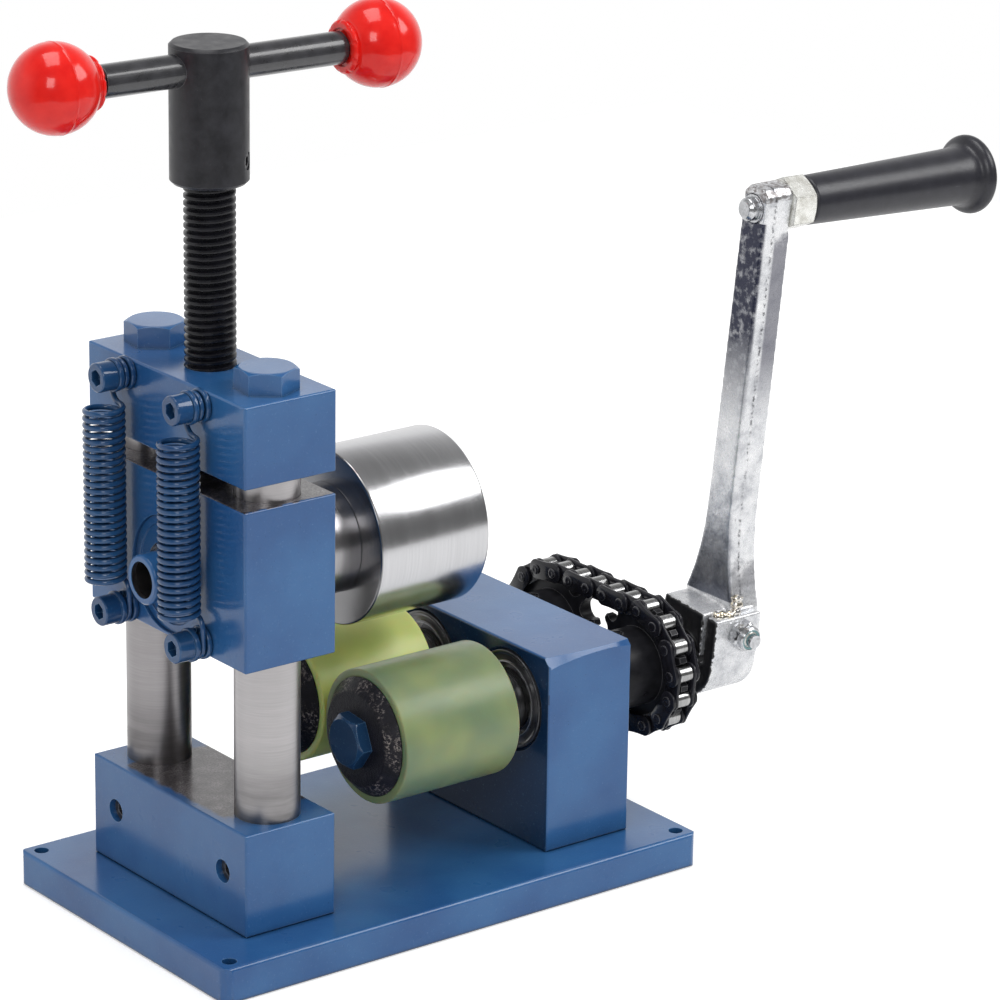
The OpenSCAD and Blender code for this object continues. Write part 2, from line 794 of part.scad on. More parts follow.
function unit(v) = v / norm(v);
function wire_ring(i) =
  let (
    last = len(spring_path) - 1,
    along = unit(spring_path[min(i + 1, last)][0] - spring_path[max(i - 1, 0)][0]),
    out = unit(spring_path[i][1] - along * (spring_path[i][1] * along)),
    up = cross(along, out)
  )
  [for (k = [0 : wire_sides - 1]) let (a = 360 * k / wire_sides)
    spring_path[i][0] + wire_d / 2 * (cos(a) * out + sin(a) * up)];

spring_gap = min([for (i = [0 : len(spring_path) - 1])
  for (j = [i + curl_rings - 2 : 1 : min(i + 3 * curl_rings, len(spring_path) - 1)])
    norm(spring_path[i][0] - spring_path[j][0])]) - wire_d;
echo(least_gap_in_a_spring = spring_gap, triangles_in_a_spring = 2 * wire_sides * len(spring_path));

module spring(side) {
  rings = [for (i = [0 : len(spring_path) - 1]) wire_ring(i)];
  points = [for (ring = rings) for (p = ring) p];
  last = len(rings) - 1;
  walls = [for (i = [0 : last - 1]) for (k = [0 : wire_sides - 1])
    let (
      a = i * wire_sides + k,
      b = i * wire_sides + (k + 1) % wire_sides,
      c = a + wire_sides,
      d = b + wire_sides
    ) each [[a, c, b], [b, c, d]]];
  ends = [for (k = [1 : wire_sides - 2]) each [
    [0, k, k + 1],
    [last * wire_sides, last * wire_sides + k + 1, last * wire_sides + k]
  ]];
  color("steelblue") translate([0, side * spring_spacing / 2, lower_screw_z])
    polyhedron(points, concat(walls, ends));
}

module left_spring() { spring(1); }
module right_spring() { spring(-1); }

module spring_screw_pair(z) {
  seat_x = front_x - 2 * washer_t - hook_w;
  grip = front_x + spring_screw_depth - spring_screw_play - seat_x;
  color("steelblue") for (side = [-1, 1])
    translate([seat_x, side * spring_spacing / 2, z]) rotate([0, -90, 0])
      cap_screw(spring_screw_d, cap_head_d, cap_head_h, grip);
}

module spring_washer_set(z) {
  edge = washer_t * washer_edge_share;
  bore = spring_screw_d + 2 * seat_fit;
  color("steelblue") for (side = [-1, 1]) translate([0, side * spring_spacing / 2, z]) {
    ring_x(washer_d, bore, front_x - washer_t, front_x, edge);
    ring_x(
      washer_d, bore, front_x - 2 * washer_t - hook_w, front_x - washer_t - hook_w, edge
    );
  }
}

module upper_spring_screws() { spring_screw_pair(upper_screw_z); }
module lower_spring_screws() { spring_screw_pair(lower_screw_z); }
module upper_spring_washers() { spring_washer_set(upper_screw_z); }
module lower_spring_washers() { spring_washer_set(lower_screw_z); }

// Upper roller and its shaft

spigot_short = 0.6;
collar_play = 1.3;
circlip_t = 1.1;
circlip_share = 1.3;
circlip_groove_share = 0.94;
circlip_edge_share = 0.1;
circlip_mouth_share = 0.3;
circlip_d = shaft_d * circlip_share;
circlip_groove_d = shaft_d * circlip_groove_share;
circlip_mouth_w = shaft_d * circlip_mouth_share;
upper_circlip_x = front_x + bearing_recess - face_gap - circlip_t;

// Ring groove cut in a shaft for a circlip
module circlip_groove(x0) {
  difference() {
    rod_x(shaft_d + 2 * over, x0 - seat_fit, x0 + circlip_t + seat_fit);
    rod_x(circlip_groove_d, x0 - over, x0 + circlip_t + over);
  }
}

// Circlip with its opening upwards
module circlip(x0) {
  color("silver") difference() {
    ring_x(circlip_d, circlip_groove_d + 2 * seat_fit, x0, x0 + circlip_t,
      circlip_t * circlip_edge_share);
    slab_x(x0 - over, x0 + circlip_t + over) translate([-circlip_mouth_w / 2, 0])
      square([circlip_mouth_w, circlip_d]);
  }
}

module upper_shaft() {
  end_x = front_x - shaft_show;
  step_x = head_bearing_rear + head_bearing_w;
  collar_x = head_back_x + collar_play;
  tip_x = upper_back_x - spigot_short;
  edge = shaft_d * end_edge_share;
  collar_edge = upper_collar_d * end_edge_share;
  color("silver") translate([0, 0, upper_z]) difference() {
    turned_x([
      [0, end_x], [shaft_d / 2 - edge, end_x], [shaft_d / 2, end_x + edge],
      [shaft_d / 2, step_x + face_gap], [shoulder_d / 2, step_x + face_gap],
      [shoulder_d / 2, collar_x], [upper_collar_d / 2 - collar_edge, collar_x],
      [upper_collar_d / 2, collar_x + collar_edge], [upper_collar_d / 2, upper_front_x],
      [upper_spigot_d / 2, upper_front_x], [upper_spigot_d / 2, tip_x], [0, tip_x]
    ]);
    rod_x(shaft_bore_d, end_x - over, end_x + shaft_bore_l);
    rod_x(roller_bolt_d + 2 * seat_fit, tip_x - roller_hole_l, tip_x + over);
    circlip_groove(upper_circlip_x);
  }
}

module upper_roller() {
  color("lightgray") translate([0, 0, upper_z]) ring_x(
    upper_roller_d, upper_spigot_d + 2 * seat_fit, upper_front_x, upper_back_x,
    upper_roller_d * roller_edge_share
  );
}

upper_washer_t = 3;
roller_edge_share = 0.015;
upper_washer_share = 1.5;
roller_hole_l = 2 * roller_bolt_d;

module upper_roller_washer() {
  color("silver") translate([0, 0, upper_z]) ring_x(
    upper_spigot_d * upper_washer_share, roller_bolt_d + 2 * seat_fit,
    upper_back_x, upper_back_x + upper_washer_t, upper_washer_t * washer_edge_share
  );
}

module roller_bolt(seat_x, tip_x) {
  grip = abs(seat_x - tip_x) + roller_bolt_d * thread_share;
  rotate([roller_bolt_turn, 0, 0]) rotate([0, seat_x < tip_x ? -90 : 90, 0])
    hex_bolt(roller_bolt_d, roller_bolt_key, roller_bolt_head_h, grip);
}

module upper_roller_bolt() {
  seat_x = upper_back_x + upper_washer_t;
  color("steelblue") translate([seat_x, 0, upper_z])
    roller_bolt(seat_x, upper_back_x - spigot_short);
}

module upper_circlip() { translate([0, 0, upper_z]) circlip(upper_circlip_x); }

// Lower rollers and their shafts

step_gap_share = 0.55;
step_share = 0.6;
core_d = lower_roller_d - 2 * sleeve_t;
lower_tip_x = lower_front_x + core_chamfer;
lower_circlip_x = bearing_back_x - bearing_recess + face_gap;

module lower_shaft(end_x) {
  edge = shaft_d * end_edge_share;
  step_x = lower_back_x + roller_gap * step_gap_share;
  step_r = shoulder_d * step_share;
  color("silver") difference() {
    turned_x([
      [0, lower_tip_x], [lower_spigot_d / 2, lower_tip_x],
      [lower_spigot_d / 2, lower_back_x], [step_r, lower_back_x],
      [step_r, step_x], [shoulder_d / 2, step_x],
      [shoulder_d / 2, block_bearing_front - face_gap],
      [shaft_d / 2, block_bearing_front - face_gap],
      [shaft_d / 2, end_x - edge], [shaft_d / 2 - edge, end_x], [0, end_x]
    ]);
    rod_x(roller_bolt_d + 2 * seat_fit, lower_tip_x - over, lower_tip_x + roller_hole_l);
    circlip_groove(lower_circlip_x);
  }
}

shaft_proud = 0.6;
module near_shaft() { at_near() lower_shaft(arm_end_x + shaft_proud); }
module far_shaft() { at_far() lower_shaft(chain_x + sprocket_t / 2 + shaft_proud); }

module core() {
  color([0.1, 0.1, 0.11]) ring_x(
    core_d, lower_spigot_d + 2 * seat_fit, lower_front_x, lower_back_x, core_chamfer
  );
}

module near_core() { at_near() core(); }
module far_core() { at_far() core(); }

module sleeve() {
  color([0.68, 0.78, 0.35]) ring_x(
    lower_roller_d, core_d + 2 * seat_fit, lower_front_x, lower_back_x,
    sleeve_t * sleeve_edge_share
  );
}

module near_sleeve() { at_near() sleeve(); }
module far_sleeve() { at_far() sleeve(); }

module lower_bolt() {
  color("steelblue") translate([lower_front_x, 0, 0]) roller_bolt(lower_front_x, lower_tip_x);
}

module near_roller_bolt() { at_near() lower_bolt(); }
module far_roller_bolt() { at_far() lower_bolt(); }

module near_circlip() { at_near() circlip(lower_circlip_x); }
module far_circlip() { at_far() circlip(lower_circlip_x); }

// Sprockets

// One gap between teeth: a round seat for the roller and flanks that open out
module tooth_gap() {
  translate([0, pitch_r]) circle(tooth_seat_r);
  polygon([
    [-tooth_seat_r, pitch_r], [tooth_seat_r, pitch_r],
    [tooth_seat_r * flank_share, tooth_r + over], [-tooth_seat_r * flank_share, tooth_r + over]
  ]);
}

module sprocket() {
  x0 = chain_x - sprocket_t / 2;
  x1 = chain_x + sprocket_t / 2;
  rim_r = pitch_r - chain_roller_d / 2;
  color([0.08, 0.08, 0.09]) difference() {
    union() {
      intersection() {
        slab_x(x0, x1) difference() {
          circle(tooth_r);
          for (i = [0 : teeth - 1]) rotate(tooth_turn * i + drive_turn) tooth_gap();
        }
        turned_x([
          [0, x0], [rim_r, x0], [tooth_r, x0 + tooth_bevel],
          [tooth_r, x1 - tooth_bevel], [rim_r, x1], [0, x1]
        ]);
      }
      rod_x(sprocket_boss_d, boss_start_x, x0);
    }
    rod_x(shaft_d + 2 * seat_fit, boss_start_x - over, x1 + over);
    translate([sprocket_screw_x, 0, 0])
      cylinder(d = sprocket_screw_d + 2 * seat_fit, h = sprocket_boss_d);
  }
}

module sprocket_screw() {
  outer = sprocket_boss_d / 2 - sprocket_screw_d * screw_sink_share;
  color([0.1, 0.1, 0.1]) translate([sprocket_screw_x, 0, outer])
    set_screw(sprocket_screw_d, outer - shaft_d / 2 - 2 * seat_fit);
}

module near_sprocket() { at_near() sprocket(); }
module far_sprocket() { at_far() sprocket(); }
module near_sprocket_screw() { at_near() sprocket_screw(); }
module far_sprocket_screw() { at_far() sprocket_screw(); }

// Roller chain round both sprockets

// Joint i of the chain as [Y, Z]: over the top, round the near sprocket,
// back along the bottom and round the far one, all moved on by drive_turn
wrap = teeth / 2;
run = (chain_links - teeth) / 2;
function on_sprocket(side, a) = [side * shaft_y, axis_z] + pitch_r * [cos(a), sin(a)];
function chain_joint(i) =
  let (n = (i + drive_turn / tooth_turn) % chain_links)
  n <= run ? [shaft_y - n * chain_pitch, axis_z + pitch_r]
  : n <= run + wrap ? on_sprocket(-1, 90 + tooth_turn * (n - run))
  : n <= 2 * run + wrap ? [(n - run - wrap) * chain_pitch - shaft_y, axis_z - pitch_r]
  : on_sprocket(1, 270 + tooth_turn * (n - 2 * run - wrap));

// Places children on link i, at its middle and along it
module on_link(i) {
  a = chain_joint(i);
  b = chain_joint(i + 1);
  translate((a + b) / 2) rotate(atan2(b[1] - a[1], b[0] - a[0])) children();
}

module link_plate(hole_d) {
  difference() {
    union() {
      for (side = [-1, 1]) translate([side * chain_pitch / 2, 0]) circle(d = chain_plate_h);
      square([chain_pitch, chain_plate_h * plate_waist_share], center = true);
    }
    for (side = [-1, 1]) translate([side * chain_pitch / 2, 0]) circle(d = hole_d);
  }
}

// Both plates of every second link, from link first on
module link_plates(first, offset_x, hole_d) {
  color([0.1, 0.1, 0.11]) for (i = [first : 2 : chain_links - 1], side = [-1, 1]) {
    x = chain_x + side * (offset_x + chain_plate_t / 2);
    slab_x(x - chain_plate_t / 2, x + chain_plate_t / 2) on_link(i) link_plate(hole_d);
  }
}

module at_joints() {
  for (i = [0 : chain_links - 1]) {
    at = chain_joint(i);
    translate([chain_x, at[0], at[1]]) children();
  }
}

module chain_outer_plates() {
  link_plates(1, outer_plate_x, chain_pin_d + 2 * seat_fit);
}

module chain_inner_plates() {
  link_plates(0, inner_plate_x, bush_d + 2 * seat_fit);
}

module chain_pins() {
  color("dimgray") at_joints() rod_x(chain_pin_d, -chain_pin_l / 2, chain_pin_l / 2);
}

module chain_bushes() {
  half = inner_plate_x + chain_plate_t;
  color("gray") at_joints() ring_x(bush_d, chain_pin_d + 2 * running_fit, -half, half, 0);
}

module chain_rollers() {
  half = chain_inner_w / 2 - plate_play;
  color("silver") at_joints()
    ring_x(chain_roller_d, bush_d + 2 * running_fit, -half, half, 0);
}

// Crank

module at_crank() { at_near() rotate([crank_lean, 0, 0]) children(); }

// Half the arm's width at a share of its length: flared at the foot, then nearly straight
function arm_half_w(s) =
  s < arm_waist_share
  ? (arm_waist_w + (arm_foot_w - arm_waist_w)
      * pow((arm_waist_share - s) / (arm_waist_share - arm_foot_share), arm_flare_power)) / 2
  : (arm_waist_w + (arm_end_w - arm_waist_w) * (s - arm_waist_share) / (1 - arm_waist_share)) / 2;
function arm_middle(s) = arm_foot_shift - (arm_foot_shift + arm_end_shift) * s;

module arm_outline() {
  shares = [for (i = [0 : arm_points])
    arm_foot_share + (arm_waist_share - arm_foot_share) * i / arm_points];
  top = crank_l + arm_end_over;
  corner = arm_end_w * arm_corner_share;
  left = [for (s = shares) [arm_middle(s) + arm_half_w(s), s * crank_l]];
  right = [for (i = [arm_points : -1 : 0])
    [arm_middle(shares[i]) - arm_half_w(shares[i]), shares[i] * crank_l]];
  circle(d = arm_foot_w);
  polygon(concat(
    [[arm_foot_w / 2, 0]], left,
    [[arm_end_w / 2 - arm_end_shift, top - corner], [arm_end_w / 2 - arm_end_shift - corner, top],
     [corner - arm_end_w / 2 - arm_end_shift, top], [-arm_end_w / 2 - arm_end_shift, top - corner]],
    right, [[-arm_foot_w / 2, 0]]
  ));
}

// Hub with a clamp lug on one side of its slit
module crank_hub_outline() {
  r = crank_hub_d / 2;
  circle(r);
  polygon([
    [r * hub_side_share, 0], [r * hub_top_share, crank_top], [-lug_reach, crank_top],
    [-lug_reach, crank_top - 2 * lug_drop], [-r * hub_side_share, 0]
  ]);
}
hub_side_share = 0.98;
hub_top_share = 0.8;

// Where the handle stud leaves the arm's outer face, tipped down a little
module at_stud_seat() {
  translate([arm_end_x, 0, crank_l]) rotate([0, grip_droop, 0]) children();
}

module crank_arm() {
  color([0.8, 0.8, 0.82]) at_crank() difference() {
    union() {
      slab_x(crank_x, crank_end_x) crank_hub_outline();
      slab_x(arm_x, arm_end_x) arm_outline();
    }
    rod_x(shaft_d + 2 * seat_fit, crank_x - over, arm_end_x + over);
    slab_x(crank_x - over, arm_x)
      translate([-slit_y - slit_w / 2, 0]) square([slit_w, crank_top + over]);
    translate([clamp_x, 0, clamp_rise]) rotate([90, 0, 0])
      cylinder(d = clamp_bolt_d + 2 * seat_fit, h = 4 * crank_hub_d, center = true);
    translate([clamp_x, clamp_seat_y, clamp_rise]) rotate([-90, 0, 0])
      cylinder(d = clamp_key * clamp_seat_share, h = crank_hub_d);
    at_stud_seat() {
      rod_x(stud_d + 2 * seat_fit, -2 * arm_t, over);
      rod_x(stud_nut_key * nut_seat_share, -stud_nut_sink, over);
    }
  }
}
clamp_seat_share = 1.25;
nut_seat_share = 1.25;

module at_clamp() { at_crank() translate([clamp_x, 0, clamp_rise]) children(); }

module clamp_bolt() {
  head_h = clamp_bolt_d * bolt_head_share;
  color("silver") at_clamp() translate([0, clamp_seat_y, 0]) rotate([-90, 0, 0]) hex_bolt(
    clamp_bolt_d, clamp_key, head_h, clamp_seat_y + lug_reach + clamp_nut_h + clamp_bolt_show
  );
}
bolt_head_share = 0.7;

module clamp_nut() {
  color("silver") at_clamp() translate([0, -lug_reach, 0]) rotate([90, 0, 0]) difference() {
    hex_head(clamp_key, clamp_nut_h);
    translate([0, 0, -over])
      cylinder(d = clamp_bolt_d + 2 * seat_fit, h = clamp_nut_h + 2 * over);
  }
}

module at_stud() { at_crank() at_stud_seat() children(); }

grip_bore_share = 0.8;
grip_bore_d = stud_d * grip_bore_share;
grip_cap_t = 9;
rivet_h = 4;

module handle_stud() {
  edge = stud_rivet_d * rivet_edge_share;
  end_x = grip_end - grip_cap_t;
  color("silver") at_stud() turned_x([
    [0, -arm_t - rivet_h], [stud_rivet_d / 2 - edge, -arm_t - rivet_h],
    [stud_rivet_d / 2, edge - arm_t - rivet_h], [stud_rivet_d / 2, -arm_t],
    [stud_d / 2, -arm_t], [stud_d / 2, stud_nut_end],
    [grip_bore_d / 2, stud_nut_end], [grip_bore_d / 2, end_x], [0, end_x]
  ]);
}

module handle_nut() {
  color("silver") at_stud() translate([-stud_nut_sink, 0, 0]) rotate([0, 90, 0]) difference() {
    hex_head(stud_nut_key, stud_nut_h);
    translate([0, 0, -over])
      cylinder(d = stud_d + 2 * seat_fit, h = stud_nut_h + 2 * over);
  }
}

// Grip that swells slowly to a rounded bead, with a blind bore for the stud
module handle_grip() {
  edge = grip_d * end_edge_share;
  bead_r = grip_bead_w / 2;
  bead_y = grip_bead_d / 2 - bead_r;
  bead_x = grip_end - bead_r;
  bore_r = grip_bore_d / 2 + 2 * running_fit;
  color([0.1, 0.1, 0.12]) at_stud() rotate([0, 90, 0]) rotate_extrude() difference() {
    union() {
      polygon([
        [0, grip_start], [grip_d / 2 - edge, grip_start], [grip_d / 2, grip_start + edge],
        [grip_end_d / 2, bead_x], [bead_y, bead_x], [bead_y, grip_end], [0, grip_end]
      ]);
      translate([bead_y, bead_x]) circle(bead_r);
    }
    translate([0, grip_start - over])
      square([bore_r, grip_l - grip_cap_t + face_gap + over]);
  }
}

base_plate();
post_block();
bearing_block();
block_screws();
left_post();
right_post();
post_set_screws();
crosshead();
post_bolts();
sliding_head();
head_front_bearing();
head_rear_bearing();
thrust_pad();
lead_screw();
handle_hub();
hub_set_screw();
cross_bar();
left_knob();
right_knob();
left_spring();
right_spring();
upper_spring_screws();
upper_spring_washers();
lower_spring_screws();
lower_spring_washers();
upper_shaft();
upper_roller();
upper_roller_washer();
upper_roller_bolt();
upper_circlip();
near_front_bearing();
near_rear_bearing();
far_front_bearing();
far_rear_bearing();
near_shaft();
near_core();
near_sleeve();
near_roller_bolt();
near_circlip();
near_sprocket();
near_sprocket_screw();
far_shaft();
far_core();
far_sleeve();
far_roller_bolt();
far_circlip();
far_sprocket();
far_sprocket_screw();
chain_outer_plates();
chain_inner_plates();
chain_pins();
chain_bushes();
chain_rollers();
crank_arm();
clamp_bolt();
clamp_nut();
handle_stud();
handle_nut();
handle_grip();
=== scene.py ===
# %% [markdown]
# # A hand cranked bending mill, dressed for the camera
#
# The CAD part comes in as a fixed frame of plain solids. This lesson gives it the
# look of the real machine: gloss blue stoving enamel on the plate and blocks,
# ground steel posts, a polished roller, yellow-green polyurethane sleeves, an
# oiled roller chain, wound springs, a threaded screw and a rough plated crank.
# All lengths are written in millimetres and turned into metres by MM.

# %% Load the frame
import json
import math
from functools import partial

import bmesh
import bpy
from mathutils import Matrix, Vector, noise

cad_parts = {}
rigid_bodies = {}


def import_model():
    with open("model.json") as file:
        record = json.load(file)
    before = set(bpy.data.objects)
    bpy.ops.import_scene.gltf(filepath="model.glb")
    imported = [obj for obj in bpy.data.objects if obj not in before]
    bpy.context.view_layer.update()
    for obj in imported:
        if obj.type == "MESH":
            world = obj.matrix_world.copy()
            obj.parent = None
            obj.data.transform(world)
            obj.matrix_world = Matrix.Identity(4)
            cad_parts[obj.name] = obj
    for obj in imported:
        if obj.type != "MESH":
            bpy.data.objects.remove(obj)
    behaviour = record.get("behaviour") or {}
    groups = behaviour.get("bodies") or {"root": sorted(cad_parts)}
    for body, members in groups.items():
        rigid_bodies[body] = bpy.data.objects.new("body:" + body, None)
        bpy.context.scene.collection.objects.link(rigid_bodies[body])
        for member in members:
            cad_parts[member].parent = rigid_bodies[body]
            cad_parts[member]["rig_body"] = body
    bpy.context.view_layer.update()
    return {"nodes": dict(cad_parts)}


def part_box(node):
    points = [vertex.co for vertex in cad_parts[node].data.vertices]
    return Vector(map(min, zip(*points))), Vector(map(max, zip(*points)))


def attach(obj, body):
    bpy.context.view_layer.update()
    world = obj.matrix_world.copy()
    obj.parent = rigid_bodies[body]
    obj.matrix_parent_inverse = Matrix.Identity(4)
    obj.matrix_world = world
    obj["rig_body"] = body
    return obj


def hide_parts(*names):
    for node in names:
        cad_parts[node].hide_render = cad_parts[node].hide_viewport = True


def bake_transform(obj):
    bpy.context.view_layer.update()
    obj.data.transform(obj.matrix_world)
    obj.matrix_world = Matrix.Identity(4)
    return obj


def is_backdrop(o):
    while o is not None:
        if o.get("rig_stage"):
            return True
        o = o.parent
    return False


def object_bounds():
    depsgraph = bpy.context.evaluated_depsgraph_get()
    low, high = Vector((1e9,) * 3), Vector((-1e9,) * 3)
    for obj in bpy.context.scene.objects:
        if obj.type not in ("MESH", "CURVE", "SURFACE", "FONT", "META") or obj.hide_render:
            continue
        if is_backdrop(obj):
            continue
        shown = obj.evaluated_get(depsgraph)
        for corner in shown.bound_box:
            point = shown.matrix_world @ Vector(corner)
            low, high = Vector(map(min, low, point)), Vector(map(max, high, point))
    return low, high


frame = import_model()
cad = frame["nodes"]
MM = 0.001


def placed(name, data):
    """A new object in the scene."""
    thing = bpy.data.objects.new(name, data)
    bpy.context.scene.collection.objects.link(thing)
    return thing


# %% [markdown]
# ## The camera
#
# The photograph was taken from the front left with a long lens, a little above
# the machine. The camera's place and its three angles were fitted to the plate's
# corners and the posts. Building the three axes of the camera from those angles
# keeps it free of any guess about Euler orders.

# %% Place the camera
yaw, pitch, roll = (math.radians(a) for a in (37.909, 18.724, 0.879))
ahead = Vector((math.sin(yaw) * math.cos(pitch), math.cos(yaw) * math.cos(pitch), -math.sin(pitch)))
level = Vector((math.cos(yaw), -math.sin(yaw), 0))
upright = level.cross(ahead)
to_right = level * math.cos(roll) + upright * math.sin(roll)
to_top = upright * math.cos(roll) - level * math.sin(roll)

lens = bpy.data.cameras.new("long lens")
lens.sensor_width = 36
lens.lens = 169.92
camera = placed("camera", lens)
camera.matrix_world = Matrix.Translation(Vector((-890.86, -1219.38, 649.46)) * MM) @ Matrix(
    (to_right, to_top, -ahead)).transposed().to_4x4()
bpy.context.scene.camera = camera
bpy.context.scene.view_settings.view_transform = "Standard"
print("lens", lens.lens, "mm")

# %% [markdown]
# ## Nodes in one line
#
# A material here is a small network. One helper makes a node, fills its sockets
# and links whatever is itself a socket. A few more name the moves that every
# finish needs: a place on the piece, cloudy noise, a ramp, a mix, a relief, and
# a share that is 1 on a sharp edge and 0 on an open face, where wear begins and where some finishes
# get a painted highlight. Sums go by their plain names, so that `times(a, b)` reads as what it
# does. A socket knows its own tree, so most helpers need not be told which tree they work in.

# %% Helpers for node trees
def tree_of(*values):
    """The node tree of the first socket among the values."""
    return next(v.id_data for v in values if isinstance(v, bpy.types.NodeSocket))


def join(tree, kind, sockets=None, **settings):
    """Makes one node; sockets are filled with values or linked."""
    node = tree.nodes.new(kind)
    for name, value in settings.items():
        setattr(node, name, value)
    for key, value in (sockets or {}).items():
        if isinstance(value, bpy.types.NodeSocket):
            tree.links.new(value, node.inputs[key])
        else:
            node.inputs[key].default_value = value
    return node


def where(tree, x=1.0, y=1.0, z=1.0):
    """Object coordinates in millimetres, stretched along each axis."""
    at = join(tree, "ShaderNodeTexCoord").outputs["Object"]
    scale = (x / MM, y / MM, z / MM)
    return join(tree, "ShaderNodeMapping", {"Vector": at, "Scale": scale}).outputs[0]


def parts_of(tree):
    """Object coordinates in mm, as three numbers."""
    return join(tree, "ShaderNodeSeparateXYZ", {0: where(tree)}).outputs


def clouds(at, size, detail=3.0, roughness=0.5):
    """Cloudy noise from 0 to 1, its blots about size mm across."""
    sockets = {"Vector": at, "Scale": 1 / size, "Detail": detail, "Roughness": roughness}
    return join(at.id_data, "ShaderNodeTexNoise", sockets).outputs["Fac"]


def opaque(colour):
    """Four numbers for a grey or a colour; a socket stays as it is."""
    if isinstance(colour, float):
        colour = (colour, colour, colour)
    return (*colour, 1) if isinstance(colour, tuple) else colour


def ramp(value, *stops):
    """Colour ramp; each stop is (place, grey or colour)."""
    node = join(value.id_data, "ShaderNodeValToRGB", {"Fac": value})
    marks = node.color_ramp.elements
    marks.remove(marks[1])
    for n, (place, shade) in enumerate(stops):
        mark = marks[0] if n == 0 else marks.new(place)
        mark.position = place
        mark.color = opaque(shade)
    return node.outputs["Color"]


def between(noise, low, high):
    """From low to high as a noise rises."""
    return ramp(noise, (0.3, low), (0.7, high))


def dimmed(colour, share):
    """A share of a colour."""
    return tuple(c * share for c in colour)


def mixed(share, first, second):
    """Colour first where share is 0 and second where it is 1."""
    return join(tree_of(share, first, second), "ShaderNodeMix",
                {0: share, 6: opaque(first), 7: opaque(second)}, data_type="RGBA").outputs[2]


def reckon(what, first, *others, clamp=False):
    """A sum on numbers, taken one after the other."""
    for other in others or (0.0,):
        first = join(tree_of(first, other), "ShaderNodeMath", {0: first, 1: other},
                     operation=what, use_clamp=clamp).outputs[0]
    return first


plus, minus, times, over, most, above, below, unsigned, root = (
    partial(reckon, what) for what in ("ADD", "SUBTRACT", "MULTIPLY", "DIVIDE", "MAXIMUM",
                                       "GREATER_THAN", "LESS_THAN", "ABSOLUTE", "SQRT"))


def relief(height, depth):
    """Normal of a surface raised by height times depth mm."""
    sockets = {"Height": height, "Distance": depth * MM, "Strength": 1.0}
    return join(height.id_data, "ShaderNodeBump", sockets).outputs[0]


def edge_share(tree, radius, start=0.02, end=0.25):
    """Near 1 on an edge and 0 on an open face."""
    round_normal = join(tree, "ShaderNodeBevel", {"Radius": radius * MM}, samples=4).outputs[0]
    flat_normal = join(tree, "ShaderNodeNewGeometry").outputs["Normal"]
    likeness = join(tree, "ShaderNodeVectorMath", {0: round_normal, 1: flat_normal},
                    operation="DOT_PRODUCT").outputs["Value"]
    return ramp(minus(1.0, likeness), (start, 0.0), (end, 1.0))


def finish(name, slot, **sockets):
    """A new material with its shader's own sockets set; returns it, its tree and shader."""
    material = bpy.data.materials.new(name)
    material.use_nodes = True
    material["slot"] = slot
    shader = material.node_tree.nodes["Principled BSDF"]
    for key, value in sockets.items():
        shader.inputs[key.replace("_", " ")].default_value = value
    return material, material.node_tree, shader


def feed(shader, **links):
    """Links outputs to the shader's sockets."""
    for key, value in links.items():
        shader.id_data.links.new(value, shader.inputs[key.replace("_", " ")])

# %% [markdown]
# ## Floor, world and lamps
#
# The photograph is a cut-out on white with the faintest shadow. The world is
# white to the camera and dimmer to matt surfaces, so colours come out as they are
# written. What mirrors see has a direction: a paper wall that fades upwards on
# one side, a dim room on the other, which gives the posts and the roller their
# dark and light bands. Three soft area lamps do the modelling: a large one above,
# one at the front left and one at the right.

# %% Floor
FLOOR_HALF = 0.8
paper, tree, shader = finish("pale paper", "", Roughness=0.9, Specular_IOR_Level=0.0)
rays = join(tree, "ShaderNodeLightPath").outputs
feed(shader, Base_Color=between(clouds(where(tree), 3.0), 0.84, 0.86),
     Emission_Strength=plus(times(rays["Is Glossy Ray"], 0.1), times(rays["Is Camera Ray"], 0.40)))
shader.inputs["Emission Color"].default_value = (1, 1, 1, 1)
mesh = bpy.data.meshes.new("floor")
corners = [(x * FLOOR_HALF, y * FLOOR_HALF, 0) for x, y in ((-1, -1), (1, -1), (1, 1), (-1, 1))]
mesh.from_pydata(corners, [], [range(4)])
mesh.materials.append(paper)
placed("floor", mesh)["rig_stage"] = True

# %% World and lamps
AMBIENT = 0.5
LOOK_AT = Vector((0, 0, 0.15))
world = bpy.data.worlds.new("white studio")
bpy.context.scene.world = world
world.use_nodes = True
tree = world.node_tree
rays = join(tree, "ShaderNodeLightPath").outputs
toward = join(tree, "ShaderNodeTexCoord").outputs["Generated"]
_, back, up = join(tree, "ShaderNodeSeparateXYZ", {0: toward}).outputs
paper_wall = ramp(up, (0.0, 1.0), (0.36, 1.0), (0.58, 0.55), (0.82, 0.25))
dim_room = ramp(up, (0.0, 0.16), (0.3, 0.16), (0.82, 0.25))
mirrored = mixed(plus(times(back, 2.0), 0.5, clamp=True), dim_room, paper_wall)
light = mixed(rays["Is Glossy Ray"], AMBIENT, mirrored)
clear = most(rays["Is Camera Ray"], rays["Is Transmission Ray"])
tree.links.new(mixed(clear, light, 1.0), tree.nodes["Background"].inputs["Color"])

for name, place, wide, tall, watts in (
        ("lamp above", (-0.2, 0.1, 1.9), 1.2, 0.8, 13),
        ("lamp front left", (-1.3, -1.3, 1.2), 0.6, 0.8, 9),
        ("lamp right", (0.95, -0.80, 1.15), 0.75, 0.75, 10)):
    area = bpy.data.lights.new(name, "AREA")
    area.shape, area.size, area.size_y, area.energy = "RECTANGLE", wide, tall, watts
    lamp = placed(name, area)
    lamp.location = place
    lamp.rotation_euler = (LOOK_AT - lamp.location).to_track_quat("-Z", "Y").to_euler()
print("lamps:", [l.name for l in bpy.data.lights])
